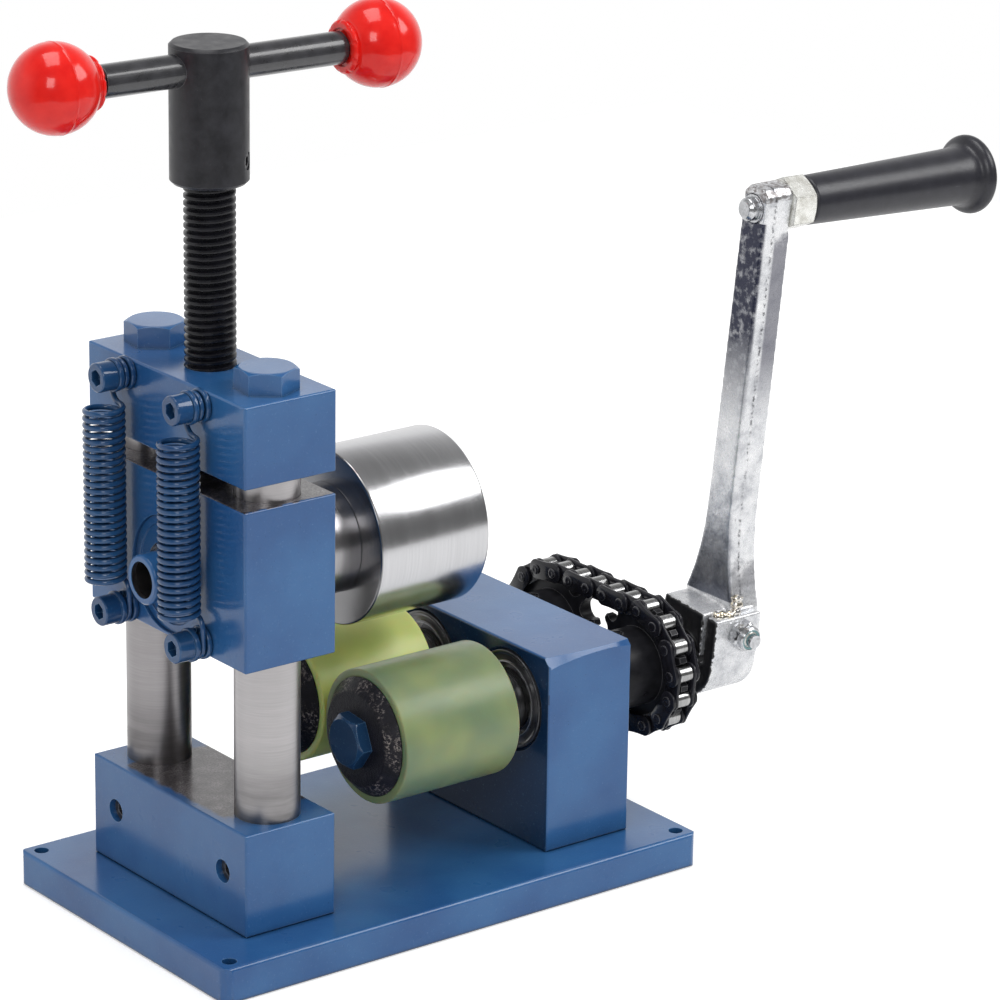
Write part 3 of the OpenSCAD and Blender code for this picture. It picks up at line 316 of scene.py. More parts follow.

# %% [markdown]
# ## Blue stoving enamel
#
# The plate, both blocks, the head, the crosshead, the springs and most screw
# heads share one coat. It is sprayed and baked, so it is glossy with a fine orange
# peel and is chipped in a few places; its sharp corners get a pale line, a painted
# highlight. The tone drifts slowly across a face, and painted shade darkens it in
# nooks and between parts. The coat layer of the shader gives the gloss and the base stays rougher.
# Two faces are worn bare: the post block's top and the head's top. The bearing
# block's side behind the rollers stands in their shade, so it is painted darker, and
# its ground chamfer is painted darker too: both are painted shade.

# %% Enamel
DEEP_BLUE, MID_BLUE, PALE_BLUE_DUST_AND_HIGHLIGHT = (0.018, 0.085, 0.245), (0.030, 0.122, 0.305), (0.15, 0.32, 0.55)


def enamel(name, bare=None, depth=1.0, haze=0.18, reach=5.0, dim=None):
    """Gloss enamel; bare(tree) is the share without paint, dim(tree) the share in deep shade."""
    material, tree, shader = finish(name, "blue_enamel", Coat_Weight=1.0, Coat_Roughness=haze,
                                    Specular_IOR_Level=0.05)
    at = where(tree)
    tone = ramp(clouds(at, 35.0), (0.35, dimmed(DEEP_BLUE, depth)), (0.62, dimmed(MID_BLUE, depth)))
    # Painted shade: ambient occlusion darkens the tone towards deep blue in recesses and between
    # parts.
    nook_painted_shade = join(tree, "ShaderNodeAmbientOcclusion", {"Distance": reach * MM}, samples=4)
    shade = ramp(nook_painted_shade.outputs["AO"], (0.15, 0.85), (0.75, 0.0))
    tone = mixed(shade, tone, dimmed(DEEP_BLUE, 0.2))
    # Painted shade where dim(tree) is 1.
    if dim:
        tone = mixed(dim(tree), tone, dimmed(DEEP_BLUE, 0.12))
    grit = ramp(clouds(at, 0.55, 3.0, 0.6), (0.68, 0.0), (0.73, 0.7))
    tone = mixed(grit, tone, dimmed(DEEP_BLUE, 0.3))
    dust = ramp(clouds(at, 0.9, 5.0, 0.65), (0.60, 0.0), (0.80, 0.35))
    colour = mixed(dust, tone, PALE_BLUE_DUST_AND_HIGHLIGHT)
    # Painted highlight: a pale line on the sharp edges.
    colour = mixed(times(edge_share(tree, 0.55), 0.75), colour, PALE_BLUE_DUST_AND_HIGHLIGHT)
    chips = ramp(clouds(at, 2.2, 5.0, 0.7), (0.62, 0.0), (0.66, 1.0))
    gone = times(chips, edge_share(tree, 0.8, 0.05, 0.2))
    if bare:
        gone = most(gone, bare(tree))
    pits = clouds(at, 0.7, 5.0, 0.7)
    steel = ramp(clouds(at, 7.0, 5.0, 0.65), (0.3, (0.045, 0.038, 0.04)),
                 (0.5, (0.13, 0.115, 0.12)), (0.72, (0.30, 0.27, 0.28)))
    steel = mixed(ramp(pits, (0.42, 0.8), (0.54, 0.0)), steel, (0.020, 0.017, 0.018))
    peel = plus(clouds(at, 1.3, 2.0), times(clouds(at, 0.45, 3.0, 0.6), 0.4))
    height = mixed(gone, peel, mixed(0.5, pits, 0.0))
    rough = between(clouds(at, 12.0), 0.26, 0.40)
    feed(shader, Base_Color=mixed(gone, colour, steel), Metallic=times(gone, 0.7),
         Roughness=mixed(gone, rough, 0.42), Normal=relief(height, 0.035))
    return material


BLOCK_TOP_Z, BARE_FROM_X, BARE_HALF_Y = 48.7, -77.5, 31.0
HEAD_TOP_Z, HEAD_HALF_Y = 160.3, 45.2
BEARING_FACE_X, CHAMFER_Y, CHAMFER_Z = 45.4, (-45.9, -43.0), (67.0, 70.6)


def wavy_step(value, soft, wave, size):
    """1 where value is above 0, its line wandering by wave mm."""
    drift = times(minus(clouds(where(value.id_data), size, 4.0), 0.5), wave * 2)
    return over(plus(value, drift), soft, clamp=True)


def block_top(tree):
    """The post block's top is bare between the posts."""
    x, y, z = parts_of(tree)
    inside_y = wavy_step(minus(BARE_HALF_Y, unsigned(y)), 3.0, 7.0, 9.0)
    return times(wavy_step(minus(x, BARE_FROM_X), 1.5, 2.5, 6.0), inside_y, above(z, BLOCK_TOP_Z))


def head_top(tree):
    """The head's top is bare to its edges."""
    _, y, z = parts_of(tree)
    return times(above(z, HEAD_TOP_Z), wavy_step(minus(HEAD_HALF_Y, unsigned(y)), 0.5, 1.6, 4.0))


def bearing_shade(tree):
    """Painted shade: the bearing block's face behind the rollers and its ground chamfer are painted
    darker.
    """
    x, y, z = parts_of(tree)
    chamfer = times(above(y, CHAMFER_Y[0]), below(y, CHAMFER_Y[1]),
                    above(z, CHAMFER_Z[0]), below(z, CHAMFER_Z[1]))
    return most(times(below(x, BEARING_FACE_X), 0.75), times(chamfer, 0.6))


blue = enamel("blue enamel")
blue_post_block = enamel("blue enamel on post block", block_top)
blue_head = enamel("blue enamel on head", head_top)
blue_small = enamel("blue enamel on small iron", depth=0.62, haze=0.07)
blue_bearing = enamel("blue enamel on bearing block", reach=30.0, dim=bearing_shade)
# Painted shade: the roller bolts get a much darker copy of the enamel, standing in for the shade
# they sit in.
blue_in_painted_shade = enamel("blue enamel in painted shade", depth=0.35, haze=0.15)

# %% [markdown]
# ## Steels
#
# Ground steel shows fine marks along the way it was worked. Stretching the noise
# along one axis gives such marks, so each steel is made for one direction: posts
# along Z, shafts and rollers round X. The dark parts are black oxide, a thin
# porous layer that holds oil and rubs through to grey on its edges.

# %% Ground, polished and blackened steel
UPPER_Z, LOWER_Z, LOWER_Y = 126.83, 62.6, 23.8125
FOOT_FROM_Z, FOOT_FADE = 78.0, 30.0


def ground_steel(name, slot, tone, rough, along, marks=0.012, low_share=0.62, spread=0.28,
                 foot=False):
    """Metal with marks that stretch by along on x, y and z; foot paints shade on a post's lower
    end.
    """
    material, tree, shader = finish(name, slot, Metallic=1.0)
    fine = clouds(where(tree, *(1 / s for s in along)), 0.35, 4.0, 0.6)
    broad = clouds(where(tree, *(1 / s ** 0.5 for s in along)), 6.0, 4.0, 0.6)
    low, high = dimmed(tone, low_share), dimmed(tone, 1.15)
    colour = mixed(between(fine, 0.0, 1.0), low, high)
    colour = mixed(ramp(broad, (0.35, 0.55), (0.6, 0.0)), colour, low)
    # Painted shade: the lower end of a post is painted darker.
    if foot:
        painted_foot_shade = over(minus(FOOT_FROM_Z, parts_of(tree)[2]), FOOT_FADE, clamp=True)
        painted_foot_shade = times(painted_foot_shade, ramp(broad, (0.3, 0.4), (0.6, 1.0)))
        colour = mixed(painted_foot_shade, colour, dimmed(tone, 0.30))
    # Painted highlight: edges are lightened towards pale grey.
    colour = mixed(times(edge_share(tree, 0.4), 0.5), colour, (0.85, 0.85, 0.87))
    feed(shader, Base_Color=colour, Normal=relief(fine, marks),
         Roughness=between(broad, rough * (1 - spread), rough * (1 + spread)))
    return material


def black_oxide(name, tone=(0.010, 0.010, 0.012), rough=0.34, wear=0.5, oil=0.0, shine=0.16,
                slot="black_oxide"):
    """Blackened steel, grey where it rubs."""
    material, tree, shader = finish(name, slot, Coat_Weight=oil, Coat_Roughness=0.10,
                                    Specular_IOR_Level=shine)
    at = where(tree)
    blots = clouds(at, 5.0, 5.0, 0.6)
    colour = mixed(ramp(blots, (0.35, 0.0), (0.75, 1.0)), tone, dimmed(tone, 2.2))
    scratches = ramp(clouds(where(tree, 0.25), 0.8, 4.0, 0.7), (0.66, 0.0), (0.74, 0.5))
    worn = most(times(edge_share(tree, 0.5), wear), times(scratches, wear * 0.4))
    feed(shader, Base_Color=mixed(worn, colour, (0.42, 0.42, 0.44)), Metallic=times(worn, 0.6),
         Roughness=between(blots, rough * 0.8, rough * 1.3),
         Normal=relief(clouds(at, 0.5, 4.0, 0.6), 0.012))
    return material


# Painted shade: the left post gets a darker copy of the post steel.
post_steel, left_post_steel_painted_shade = (
    ground_steel(name, "ground_steel", tone, 0.34, (50, 50, 1.2), 0.0002, 0.97, 0.03, foot=True)
    for name, tone in (("ground post steel", (0.45, 0.435, 0.44)),
                       ("post steel in painted shade", (0.34, 0.325, 0.33))))
bearing_steel = ground_steel("bearing ring steel", "bearing_steel", (0.30, 0.30, 0.32), 0.25,
                             (1, 20, 20), 0.004)
zinc = ground_steel("bright zinc", "zinc_plate", (0.66, 0.67, 0.69), 0.22, (3, 3, 3), 0.006)
chain_shine = ground_steel("bright chain steel", "chain_bright", (0.50, 0.50, 0.50), 0.22,
                           (1, 12, 12), 0.004)
chain_side = black_oxide("dark chain plate", (0.008, 0.008, 0.011), 0.20, 0.7, 0.3,
                         slot="chain_steel")
oxide = black_oxide("black oxide")
screw_oxide = black_oxide("oiled black thread", (0.005, 0.005, 0.007), 0.26, 0.06, 0.0, 0.30)
hub_oxide = black_oxide("satin black hub", (0.013, 0.013, 0.016), 0.36, 0.35, 0.0, 0.40)
gloss_oxide = black_oxide("oiled black bar", (0.020, 0.020, 0.023), 0.30, 0.6, 0.8, 0.5)


def hypotenuse(a, b):
    """Length of the straight line that goes a one way and b across it."""
    return root(plus(times(a, a), times(b, b)))


def turned_steel(name, slot, tone, rough, y, z, marks, depth, painted_dark_face=None):
    """Steel turned about an axis along X through y and z, marked in rings as a lathe leaves it."""
    material, tree, shader = finish(name, slot, Metallic=1.0)
    along, at_y, at_z = parts_of(tree)
    across, rise = minus(at_y, y), minus(at_z, z)
    turn = times(reckon("ARCTAN2", across, rise), 0.3)
    place = join(tree, "ShaderNodeCombineXYZ",
                 {0: along, 1: hypotenuse(across, rise), 2: turn}).outputs[0]
    fine, broad = clouds(place, marks, 4.0, 0.6), clouds(place, marks * 12, 4.0, 0.6)
    low, high = dimmed(tone, 0.90), dimmed(tone, 1.05)
    colour = mixed(between(fine, 0.0, 1.0), low, high)
    colour = mixed(ramp(broad, (0.3, 0.35), (0.6, 0.0)), colour, low)
    # Painted highlight: edges are lightened towards pale grey.
    colour = mixed(times(edge_share(tree, 0.4), 0.5), colour, (0.9, 0.9, 0.92))
    # Painted reflection: the roller's front face is painted darker, standing in for the dark room
    # it mirrors.
    if painted_dark_face is not None:
        colour = mixed(below(along, painted_dark_face), colour, dimmed(tone, 0.42))
    feed(shader, Base_Color=colour, Normal=relief(fine, depth),
         Roughness=between(broad, rough * 0.9, rough * 1.12))
    return material


roller_steel = turned_steel("polished roller steel", "polished_steel", (0.62, 0.62, 0.635), 0.21,
                            0, UPPER_Z, 0.35, 0.0002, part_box("upper_roller")[0].x / MM + 0.5)
upper_steel, near_steel, far_steel = (
    turned_steel(f"turned {which} shaft steel", "ground_steel", tone, rough, y, z, 0.4, 0.003)
    for which, tone, rough, y, z in (
        ("upper", (0.42, 0.41, 0.42), 0.26, 0, UPPER_Z),
        ("near", (0.30, 0.30, 0.31), 0.28, -LOWER_Y, LOWER_Z),
        ("far", (0.30, 0.30, 0.31), 0.28, LOWER_Y, LOWER_Z)))

# %% [markdown]
# ## Polyurethane, phenolic and plated casting
#
# The sleeves are cast polyurethane, a cloudy yellow-green that lets light a little
# way in, so the shader gets some subsurface scattering. The knobs are moulded
# phenolic, hard and glossy. The crank is a rough casting under bright plating: the
# plating mirrors, but the skin under it is pitted, so the highlights break up. Its
# front face is painted dark at the arm's foot and crown and its flank and back carry
# grey bands, all painted reflection; the hub's end face on the side of the sprocket
# is black, painted shade.

# %% Sleeves, knobs and grip
def cast_rubber(name, green, gold):
    """Cloudy polyurethane between two tones."""
    material, tree, shader = finish(
        name, "polyurethane", Subsurface_Weight=0.5, Subsurface_Scale=0.005,
        Coat_Weight=0.5, Coat_Roughness=0.34, Specular_IOR_Level=0.3)
    at = where(tree)
    colour = ramp(clouds(at, 20.0, 1.5, 0.5), (0.34, green), (0.62, gold))
    # Painted highlight: the sleeve's edges are lightened to a pale rim.
    feed(shader, Base_Color=mixed(times(edge_share(tree, 0.7), 0.6), colour, (0.42, 0.50, 0.24)),
         Roughness=between(clouds(at, 3.0), 0.34, 0.48),
         Normal=relief(clouds(where(tree, 1.0, 0.1, 0.1), 0.6), 0.012))
    return material


# Painted light and painted shade: the far sleeve gets a much lighter copy of the colour, the near
# one a darker copy.
near_rubber_painted_shade = cast_rubber("polyurethane, near, painted shade", (0.150, 0.215, 0.115), (0.235, 0.290, 0.122))
far_rubber_painted_light = cast_rubber("polyurethane, far, painted light", (0.58, 0.68, 0.20), (0.74, 0.80, 0.24))

knob_red, tree, shader = finish("red phenolic", "red_plastic", Coat_Weight=0.5, Coat_Roughness=0.09,
                                Specular_IOR_Level=0.18)
at = where(tree)
feed(shader, Base_Color=between(clouds(at, 6.0, 4.0), (0.70, 0.008, 0.006), (0.82, 0.018, 0.012)),
     Roughness=between(clouds(at, 2.0), 0.16, 0.26), Normal=relief(clouds(at, 1.4, 2.0), 0.008))

grip_plastic, tree, shader = finish("satin black plastic", "black_plastic")
at = where(tree)
colour = between(clouds(at, 5.0, 4.0), (0.018, 0.018, 0.024), (0.026, 0.026, 0.034))
scuff = ramp(clouds(where(tree, 0.2), 1.2, 5.0, 0.7), (0.62, 0.0), (0.75, 0.35))
feed(shader, Base_Color=mixed(scuff, colour, (0.10, 0.10, 0.11)),
     Roughness=between(clouds(at, 1.0, 4.0), 0.30, 0.38),
     Normal=relief(clouds(at, 0.35, 3.0), 0.006))

# %% Plated casting
HUB_TOP_Z, CROWN_Z, TIP_Z, ARM_L = 82.5, 223.0, 230.5, 240.0
HUB_FACE_X, MIDDLE_X, FRONT_X, SEAM_X, FLANK_X = 123.75, 135.4, 135.6, 138.6, 139.2
cast_plate, tree, shader = finish("plated casting", "plated_casting")
at = where(tree)
x, y, z = parts_of(tree)
lumps, stain = clouds(at, 1.5, 5.0, 0.62), clouds(at, 9.0, 5.0, 0.68)
colour = ramp(stain, (0.3, (0.42, 0.43, 0.46)), (0.48, (0.72, 0.73, 0.75)),
              (0.7, (0.90, 0.90, 0.91)))
rise = plus(z, times(minus(stain, 0.5), 26.0))
over_hub = above(z, HUB_TOP_Z)
front, flank = (times(minus(a, b, clamp=True), over_hub) for a, b in ((FRONT_X, x), (x, FLANK_X)))
up_arm = partial(ramp, over(rise, ARM_L))
# Painted reflection: the masks below darken the front face towards the arm's foot and crown and lay
# grey bands on the flank and the back half.
foot = times(over(minus(121.0, rise), 36.0, clamp=True), front)
marble = ramp(clouds(at, 3.2, 5.0, 0.7), (0.50, 1.0), (0.66, 0.55))
painted_crown_reflection = times(up_arm((0.62, 0.0), (0.76, 1.0)), below(z, CROWN_Z), front, marble)
painted_flank_reflection = up_arm((0.62, 0.0), (0.72, 0.8), (0.90, 0.8), (0.92, 0.0))
painted_back_reflection = ramp(over(rise, 200.0), (0.41, 0.0), (0.43, 0.6), (0.47, 0.6), (0.49, 0.0))
tip = times(above(z, TIP_Z), ramp(lumps, (0.42, 0.75), (0.60, 0.0)))
seam = ramp(unsigned(minus(x, SEAM_X)), (0.0, 1.0), (1.0, 0.0))
holes = ramp(clouds(at, 1.3, 4.0, 0.7), (0.42, 1.0), (0.50, 0.0))
pits = ramp(clouds(at, 1.1, 4.0, 0.7), (0.28, 1.0), (0.36, 0.0))
# The first four tones are painted reflection.
for share, tone in (
        (times(foot, 0.85), (0.060, 0.072, 0.11)), (painted_crown_reflection, (0.032, 0.035, 0.062)),
        (times(painted_flank_reflection, flank), (0.13, 0.13, 0.165)),
        (times(painted_back_reflection, above(x, MIDDLE_X)), (0.16, 0.16, 0.18)), (tip, (0.11, 0.085, 0.075)),
        (times(seam, holes, over_hub), (0.03, 0.03, 0.04)),
        (times(pits, 0.75), (0.05, 0.05, 0.06))):
    colour = mixed(share, colour, tone)
# Painted shade: the hub's end face on the side of the sprocket is coloured black, standing in for
# the chain's shade.
black = below(plus(x, times(minus(lumps, 0.5), 2.4)), HUB_FACE_X)
feed(shader, Base_Color=mixed(black, colour, (0.010, 0.010, 0.012)),
     Metallic=times(minus(1.0, black), 0.6), Normal=relief(lumps, 0.14),
     Roughness=mixed(black, between(lumps, 0.34, 0.20), 0.38))

# %% Small bright things
bright_nut, tree, shader = finish("bright nut plating", "zinc_plate", Metallic=0.45)
at = where(tree)
colour = ramp(clouds(at, 3.0, 4.0, 0.6), (0.3, (0.62, 0.61, 0.56)), (0.6, (0.90, 0.90, 0.86)))
# Painted reflection: the nut's corners are darkened between its bright flats.
colour = mixed(times(edge_share(tree, 0.7, 0.02, 0.12), 0.85), colour, 0.08)
feed(shader, Base_Color=colour, Roughness=between(clouds(at, 1.0), 0.18, 0.34),
     Normal=relief(clouds(at, 0.7), 0.03))

weld_metal, tree, shader = finish("bright weld", "plated_casting", Metallic=1.0)
at = where(tree)
heat = clouds(at, 2.2)
feed(shader, Base_Color=ramp(heat, (0.35, (0.70, 0.70, 0.72)), (0.66, (0.74, 0.66, 0.50))),
     Roughness=between(clouds(at, 0.8), 0.12, 0.26), Normal=relief(clouds(at, 0.6), 0.05))

nyloc, tree, shader = finish("blue nylon ring", "zinc_plate", Specular_IOR_Level=0.4)
at = where(tree)
feed(shader, Base_Color=between(clouds(at, 1.2), (0.16, 0.34, 0.36), (0.26, 0.46, 0.48)),
     Roughness=between(clouds(at, 0.5), 0.25, 0.4), Normal=relief(clouds(at, 0.4), 0.01))
print("finishes:", len(bpy.data.materials))

# %% [markdown]
# ## Shapes in mesh code
#
# Three ways of making a piece cover most of the machine. `turned` spins a profile
# of (along, radius) pairs about any axis, as a lathe does. `softened` takes a
# merged copy of a CAD node and gives its edges a small real bevel, so light
# catches them; weighted normals then keep the big faces flat. `settle` does what
# every finished piece needs: material, smooth shading with sharp corners kept,
# the body it rides on and the CAD nodes it stands for.

# %% Helpers for pieces
def new_piece(name, work):
    """A piece at the origin from a bmesh."""
    bmesh.ops.recalc_face_normals(work, faces=work.faces)
    mesh = bpy.data.meshes.new(name)
    work.to_mesh(mesh)
    work.free()
    return placed(name, mesh)


def made_plain(piece):
    """Keeps what the modifiers make as plain mesh and removes them."""
    graph = bpy.context.evaluated_depsgraph_get()
    mesh = bpy.data.meshes.new_from_object(piece.evaluated_get(graph))
    piece.modifiers.clear()
    piece.data = mesh
    return mesh


def settle(piece, body, coat, *stands_for, sharp=38):
    """Finish, shading, body and the CAD nodes a piece stands for."""
    mesh = piece.data
    mesh.materials.clear()
    mesh.materials.append(coat)
    mesh.polygons.foreach_set("material_index", [0] * len(mesh.polygons))
    mesh.shade_smooth()
    mesh.set_sharp_from_angle(angle=math.radians(sharp))
    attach(piece, body)
    if stands_for:
        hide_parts(*stands_for)


def eased(profile, radius, steps=3):
    """A profile with each inner corner rounded off by about radius."""
    points = [Vector(p) for p in profile]
    soft = [points[0]]
    for before, corner, after in zip(points, points[1:], points[2:]):
        into, out = corner - before, after - corner
        reach = min(radius, into.length * 0.45, out.length * 0.45)
        a, b = corner - into.normalized() * reach, corner + out.normalized() * reach
        for t in (s / steps for s in range(steps + 1)):
            soft.append(a * (1 - t) ** 2 + corner * 2 * t * (1 - t) + b * t * t)
    return soft + [points[-1]]


def round_angles(sides):
    """The angles of a ring's points."""
    return [2 * math.pi * k / sides for k in range(sides)]


def skin(work, rings, closed=False, capped=False):
    """Adds faces between rings of points in mm; a ring of one point is a pole."""
    sides = max(len(ring) for ring in rings)
    rings = [[work.verts.new(Vector(point) * MM) for point in ring] for ring in rings]
    for one, two in zip(rings, rings[1:] + (rings[:1] if closed else [])):
        for k in range(sides):
            n = (k + 1) % sides
            quad = [one[k % len(one)], one[n % len(one)], two[n % len(two)], two[k % len(two)]]
            corners = list(dict.fromkeys(quad))
            if len(corners) > 2:
                work.faces.new(corners)
    if capped:
        work.faces.new(rings[0])
        work.faces.new(rings[-1])


def skinned(name, rings, closed=False, capped=False):
    """A piece with one skin."""
    work = bmesh.new()
    skin(work, rings, closed, capped)
    return new_piece(name, work)


def around(radius, way, at, sides, along=0.0):
    """A ring of points about the line from at towards way."""
    turn = Vector(way).to_track_quat("Z", "Y").to_matrix()
    return [Vector(at) + turn @ Vector((radius * math.cos(a), radius * math.sin(a), along))
            for a in round_angles(sides if radius > 1e-6 else 1)]


def turned(name, profile, at, sides, closed=False, axis=(1, 0, 0)):
    """A lathe-turned piece."""
    return skinned(name, [around(r, axis, at, sides, along) for along, r in profile], closed)


def merged_copy(node):
    """A bmesh of a CAD node with its loose triangles joined into clean faces."""
    work = bmesh.new()
    work.from_mesh(cad[node].data)
    bmesh.ops.remove_doubles(work, verts=work.verts, dist=0.002 * MM)
    flat = math.radians(0.4)
    bmesh.ops.dissolve_limit(work, angle_limit=flat, verts=work.verts, edges=work.edges)
    return work


def softened(node, width, coat, reshape=None):
    """A CAD node's copy, its corners bevelled by width mm; reshape(work) may come first."""
    work = merged_copy(node)
    if reshape:
        reshape(work)
    piece = new_piece(node + "_soft", work)
    bevel = piece.modifiers.new("edge", "BEVEL")
    bevel.width, bevel.segments = width * MM, 2
    bevel.limit_method, bevel.angle_limit = "ANGLE", math.radians(28)
    bevel.use_clamp_overlap = True
    piece.data.materials.clear()
    piece.data.materials.append(coat)
    piece.data.shade_smooth()
    piece.modifiers.new("flat faces", "WEIGHTED_NORMAL").weight = 80
    mesh = made_plain(piece)
    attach(piece, cad[node]["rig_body"])
    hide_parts(node)
    return mesh

# %% [markdown]
# ## Blocks, plate and small iron
#
# The blocks and the bar stock keep the CAD's exact shape and only need softer
# corners. The bevel's width is what the hand would feel: half a millimetre on the
# blocks, a tenth or two on screws. The bearing block's front top chamfer was made
# with a hand grinder, so it is cut into short lengths and narrowed in the middle.

# %% Soften the solid pieces
SOFT = {
    blue: dict(base_plate=0.5, crosshead=0.5, post_bolts=0.3, upper_roller_bolt=0.3,
               head_front_bearing=0.2),
    blue_small: dict(upper_spring_screws=0.3, lower_spring_screws=0.3,
                     upper_spring_washers=0.15, lower_spring_washers=0.15),
    blue_post_block: dict(post_block=0.9),
    blue_head: dict(sliding_head=0.5),
    post_steel: dict(right_post=0.3),
    left_post_steel_painted_shade: dict(left_post=0.3),
    upper_steel: dict(upper_shaft=0.25, thrust_pad=0.2, upper_circlip=0.1),
    near_steel: dict(near_shaft=0.2, near_circlip=0.1),
    far_steel: dict(far_shaft=0.2, far_circlip=0.1),
    bearing_steel: dict(head_rear_bearing=0.15, near_rear_bearing=0.15, far_rear_bearing=0.15),
    oxide: dict(block_screws=0.2, near_sprocket=0.12, far_sprocket=0.12,
                near_sprocket_screw=0.1, far_sprocket_screw=0.1),
    hub_oxide: dict(handle_hub=0.4, hub_set_screw=0.1),
    gloss_oxide: dict(cross_bar=0.2, post_set_screws=0.12),
    roller_steel: dict(upper_roller_washer=0.2),
    zinc: dict(clamp_bolt=0.15, handle_stud=0.25),
    bright_nut: dict(handle_nut=0.3),
    chain_shine: dict(chain_bushes=0.05),
}
softer = {node: softened(node, width, coat)
          for coat, nodes in SOFT.items() for node, width in nodes.items()}


def hand_ground(work):
    """Narrows the block's front top chamfer towards its middle, as a hand grinder leaves it."""
    low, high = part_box("bearing_block")
    long, cuts, hair, chamfer = high.x - low.x, 10, 0.01 * MM, 3.5 * MM
    for k in range(1, cuts):
        geometry = work.verts[:] + work.edges[:] + work.faces[:]
        cut = (low.x + long * k / cuts, 0, 0)
        bmesh.ops.bisect_plane(work, geom=geometry, plane_co=cut, plane_no=(1, 0, 0))
    for v in work.verts:
        along = (v.co.x - low.x) / long
        keep = 0.30 + 0.85 * (1 - along) ** 3 + 0.35 * along ** 6
        if v.co.z > high.z - chamfer and v.co.y < low.y + hair:
            v.co.z = high.z + (v.co.z - high.z) * keep * 1.2
        elif v.co.z > high.z - hair and v.co.y < low.y + chamfer:
            v.co.y = low.y + (v.co.y - low.y) * keep * 0.8


softened("bearing_block", 0.35, blue_bearing, hand_ground)

# The upper shaft's nose caught the same paint as the head.
NOSE_END = -79.7
shaft = softer["upper_shaft"]
shaft.materials.append(blue)
for face in shaft.polygons:
    if face.center.x / MM < NOSE_END:
        face.material_index = 1
print("softened", len(softer) + 1, "nodes, faces:", sum(len(m.polygons) for m in softer.values()))

# %% [markdown]
# ## Rollers and sleeves
#
# The big turned pieces show every facet, so they are spun again here with many
# sides, over the CAD solids they stand for. The upper roller is plain ground steel
# with a broken edge. Each lower sleeve is a cast ring 3 mm thick with a softer
# edge, pressed on its black core.

# %% Spin the rollers
def turned_span(node):
    """Start, end and radius in mm of a round node along X."""
    low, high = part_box(node)
    return low.x / MM, high.x / MM, (high.z - low.z) / 2 / MM


def lathed(name, section, edge, at, sides, steps=3):
    """A closed section turned about X, its corners eased by edge mm."""
    return turned(name, eased(section, edge, steps)[:-1], at, sides, True)


def spun_ring(name, outer_r, bore_r, x0, x1, edge, at, sides):
    """A ring along X whose corners are eased by edge mm."""
    start = (x0, (outer_r + bore_r) / 2)
    section = [start, (x0, outer_r), (x1, outer_r), (x1, bore_r), (x0, bore_r), start]
    return lathed(name, section, edge, at, sides, 4)


ROLLER_BORE_R, SLEEVE_WALL = 12.0, 3.0
SHAFTS = {"near": (0, -LOWER_Y, LOWER_Z), "far": (0, LOWER_Y, LOWER_Z)}
x0, x1, roller_r = turned_span("upper_roller")
piece = spun_ring("upper_roller_ground", roller_r, ROLLER_BORE_R, x0, x1, 0.9, (0, 0, UPPER_Z), 160)
settle(piece, "upper_roll", roller_steel, "upper_roller")
print("upper roller", round(2 * roller_r, 2), "mm across,", round(x1 - x0, 2), "long")

for (side, spot), rubber in zip(SHAFTS.items(), (near_rubber_painted_shade, far_rubber_painted_light)):
    x0, x1, sleeve_r = turned_span(side + "_sleeve")
    bore_r = sleeve_r - SLEEVE_WALL
    piece = spun_ring(side + "_sleeve_cast", sleeve_r, bore_r, x0, x1, 0.8, spot, 144)
    settle(piece, side + "_roll", rubber, side + "_sleeve")
    print(side, "sleeve", round(2 * sleeve_r, 2), "mm across")

# %% [markdown]
# ## Cores, bolts and front bearings
#
# Each core stands a few millimetres out of its sleeve and is chamfered at 45
# degrees. The black there is rough and rubbed through in specks, which a noise
# kept to the chamfer gives. A hexagon is a circle cut by six flats, so one
# function makes every hexagon: each ring of points is the smaller of its own
# radius and the flats, and a bolt's chamfer curves come out by themselves. The
# bearing behind each sleeve is a turned ring with its seal sunk in, flush with
# the block.

# %% Turn the cores, cut the bolts
CORE_OUT, FACE_R, CORE_R, HEX_KEY, HEX_H, HEX_TURN = 4.4, 16.6, 20.4, 17.0, 5.0, math.radians(36)
RAMP_R, BEARING_OUT = 24.0, 1.5
sleeve_front, sleeve_back, _ = turned_span("near_sleeve")

core_oxide, tree, shader = finish("rough black core", "black_oxide", Specular_IOR_Level=0.22)
at = where(tree)
_, y, z = parts_of(tree)
specks = clouds(at, 1.1, 5.0, 0.75)
from_axis = over(hypotenuse(minus(unsigned(y), LOWER_Y), minus(z, LOWER_Z)), RAMP_R)
band = ramp(from_axis, (FACE_R / RAMP_R - 0.02, 0.0), (FACE_R / RAMP_R + 0.02, 1.0))
area = ramp(clouds(at, 9.0, 3.0), (0.42, 0.0), (0.62, 1.0))
rubbed = times(ramp(specks, (0.52, 0.0), (0.60, 1.0)), times(band, area))
blots = ramp(clouds(at, 4.0, 5.0, 0.65), (0.35, (0.005, 0.005, 0.008)),
             (0.7, (0.016, 0.015, 0.021)))
feed(shader, Base_Color=mixed(rubbed, blots, (0.34, 0.30, 0.28)), Metallic=times(rubbed, 0.4),
     Roughness=between(specks, 0.48, 0.30), Normal=relief(specks, 0.25))


def hexagon_part(name, key, outline, way, foot, corner, hollow=False):
    """A hexagon with the outline (along, radius) in mm; one of its corners points to corner."""
    foot, way, corner = Vector(foot), Vector(way).normalized(), Vector(corner).normalized()
    across, rings = way.cross(corner), []
    for along, radius in outline:
        rings.append([])
        for a in round_angles(96):
            r = min(radius, key / 2 / math.cos(a % (math.pi / 3) - math.pi / 6))
            out = corner * math.cos(a) + across * math.sin(a)
            rings[-1].append(foot + way * along + out * r)
    return skinned(name, rings, closed=hollow, capped=not hollow)


def crowned(key, height, drop=1.3, steps=5):
    """Outline of a hexagon head whose upper corners are turned off."""
    wide, face = key / 2 / math.cos(math.pi / 6) + 0.05, key / 2 * 0.94
    return [(0.0, wide)] + [(height - drop * (1 - t), wide + (face - wide) * t)
                            for t in (k / steps for k in range(steps + 1))]


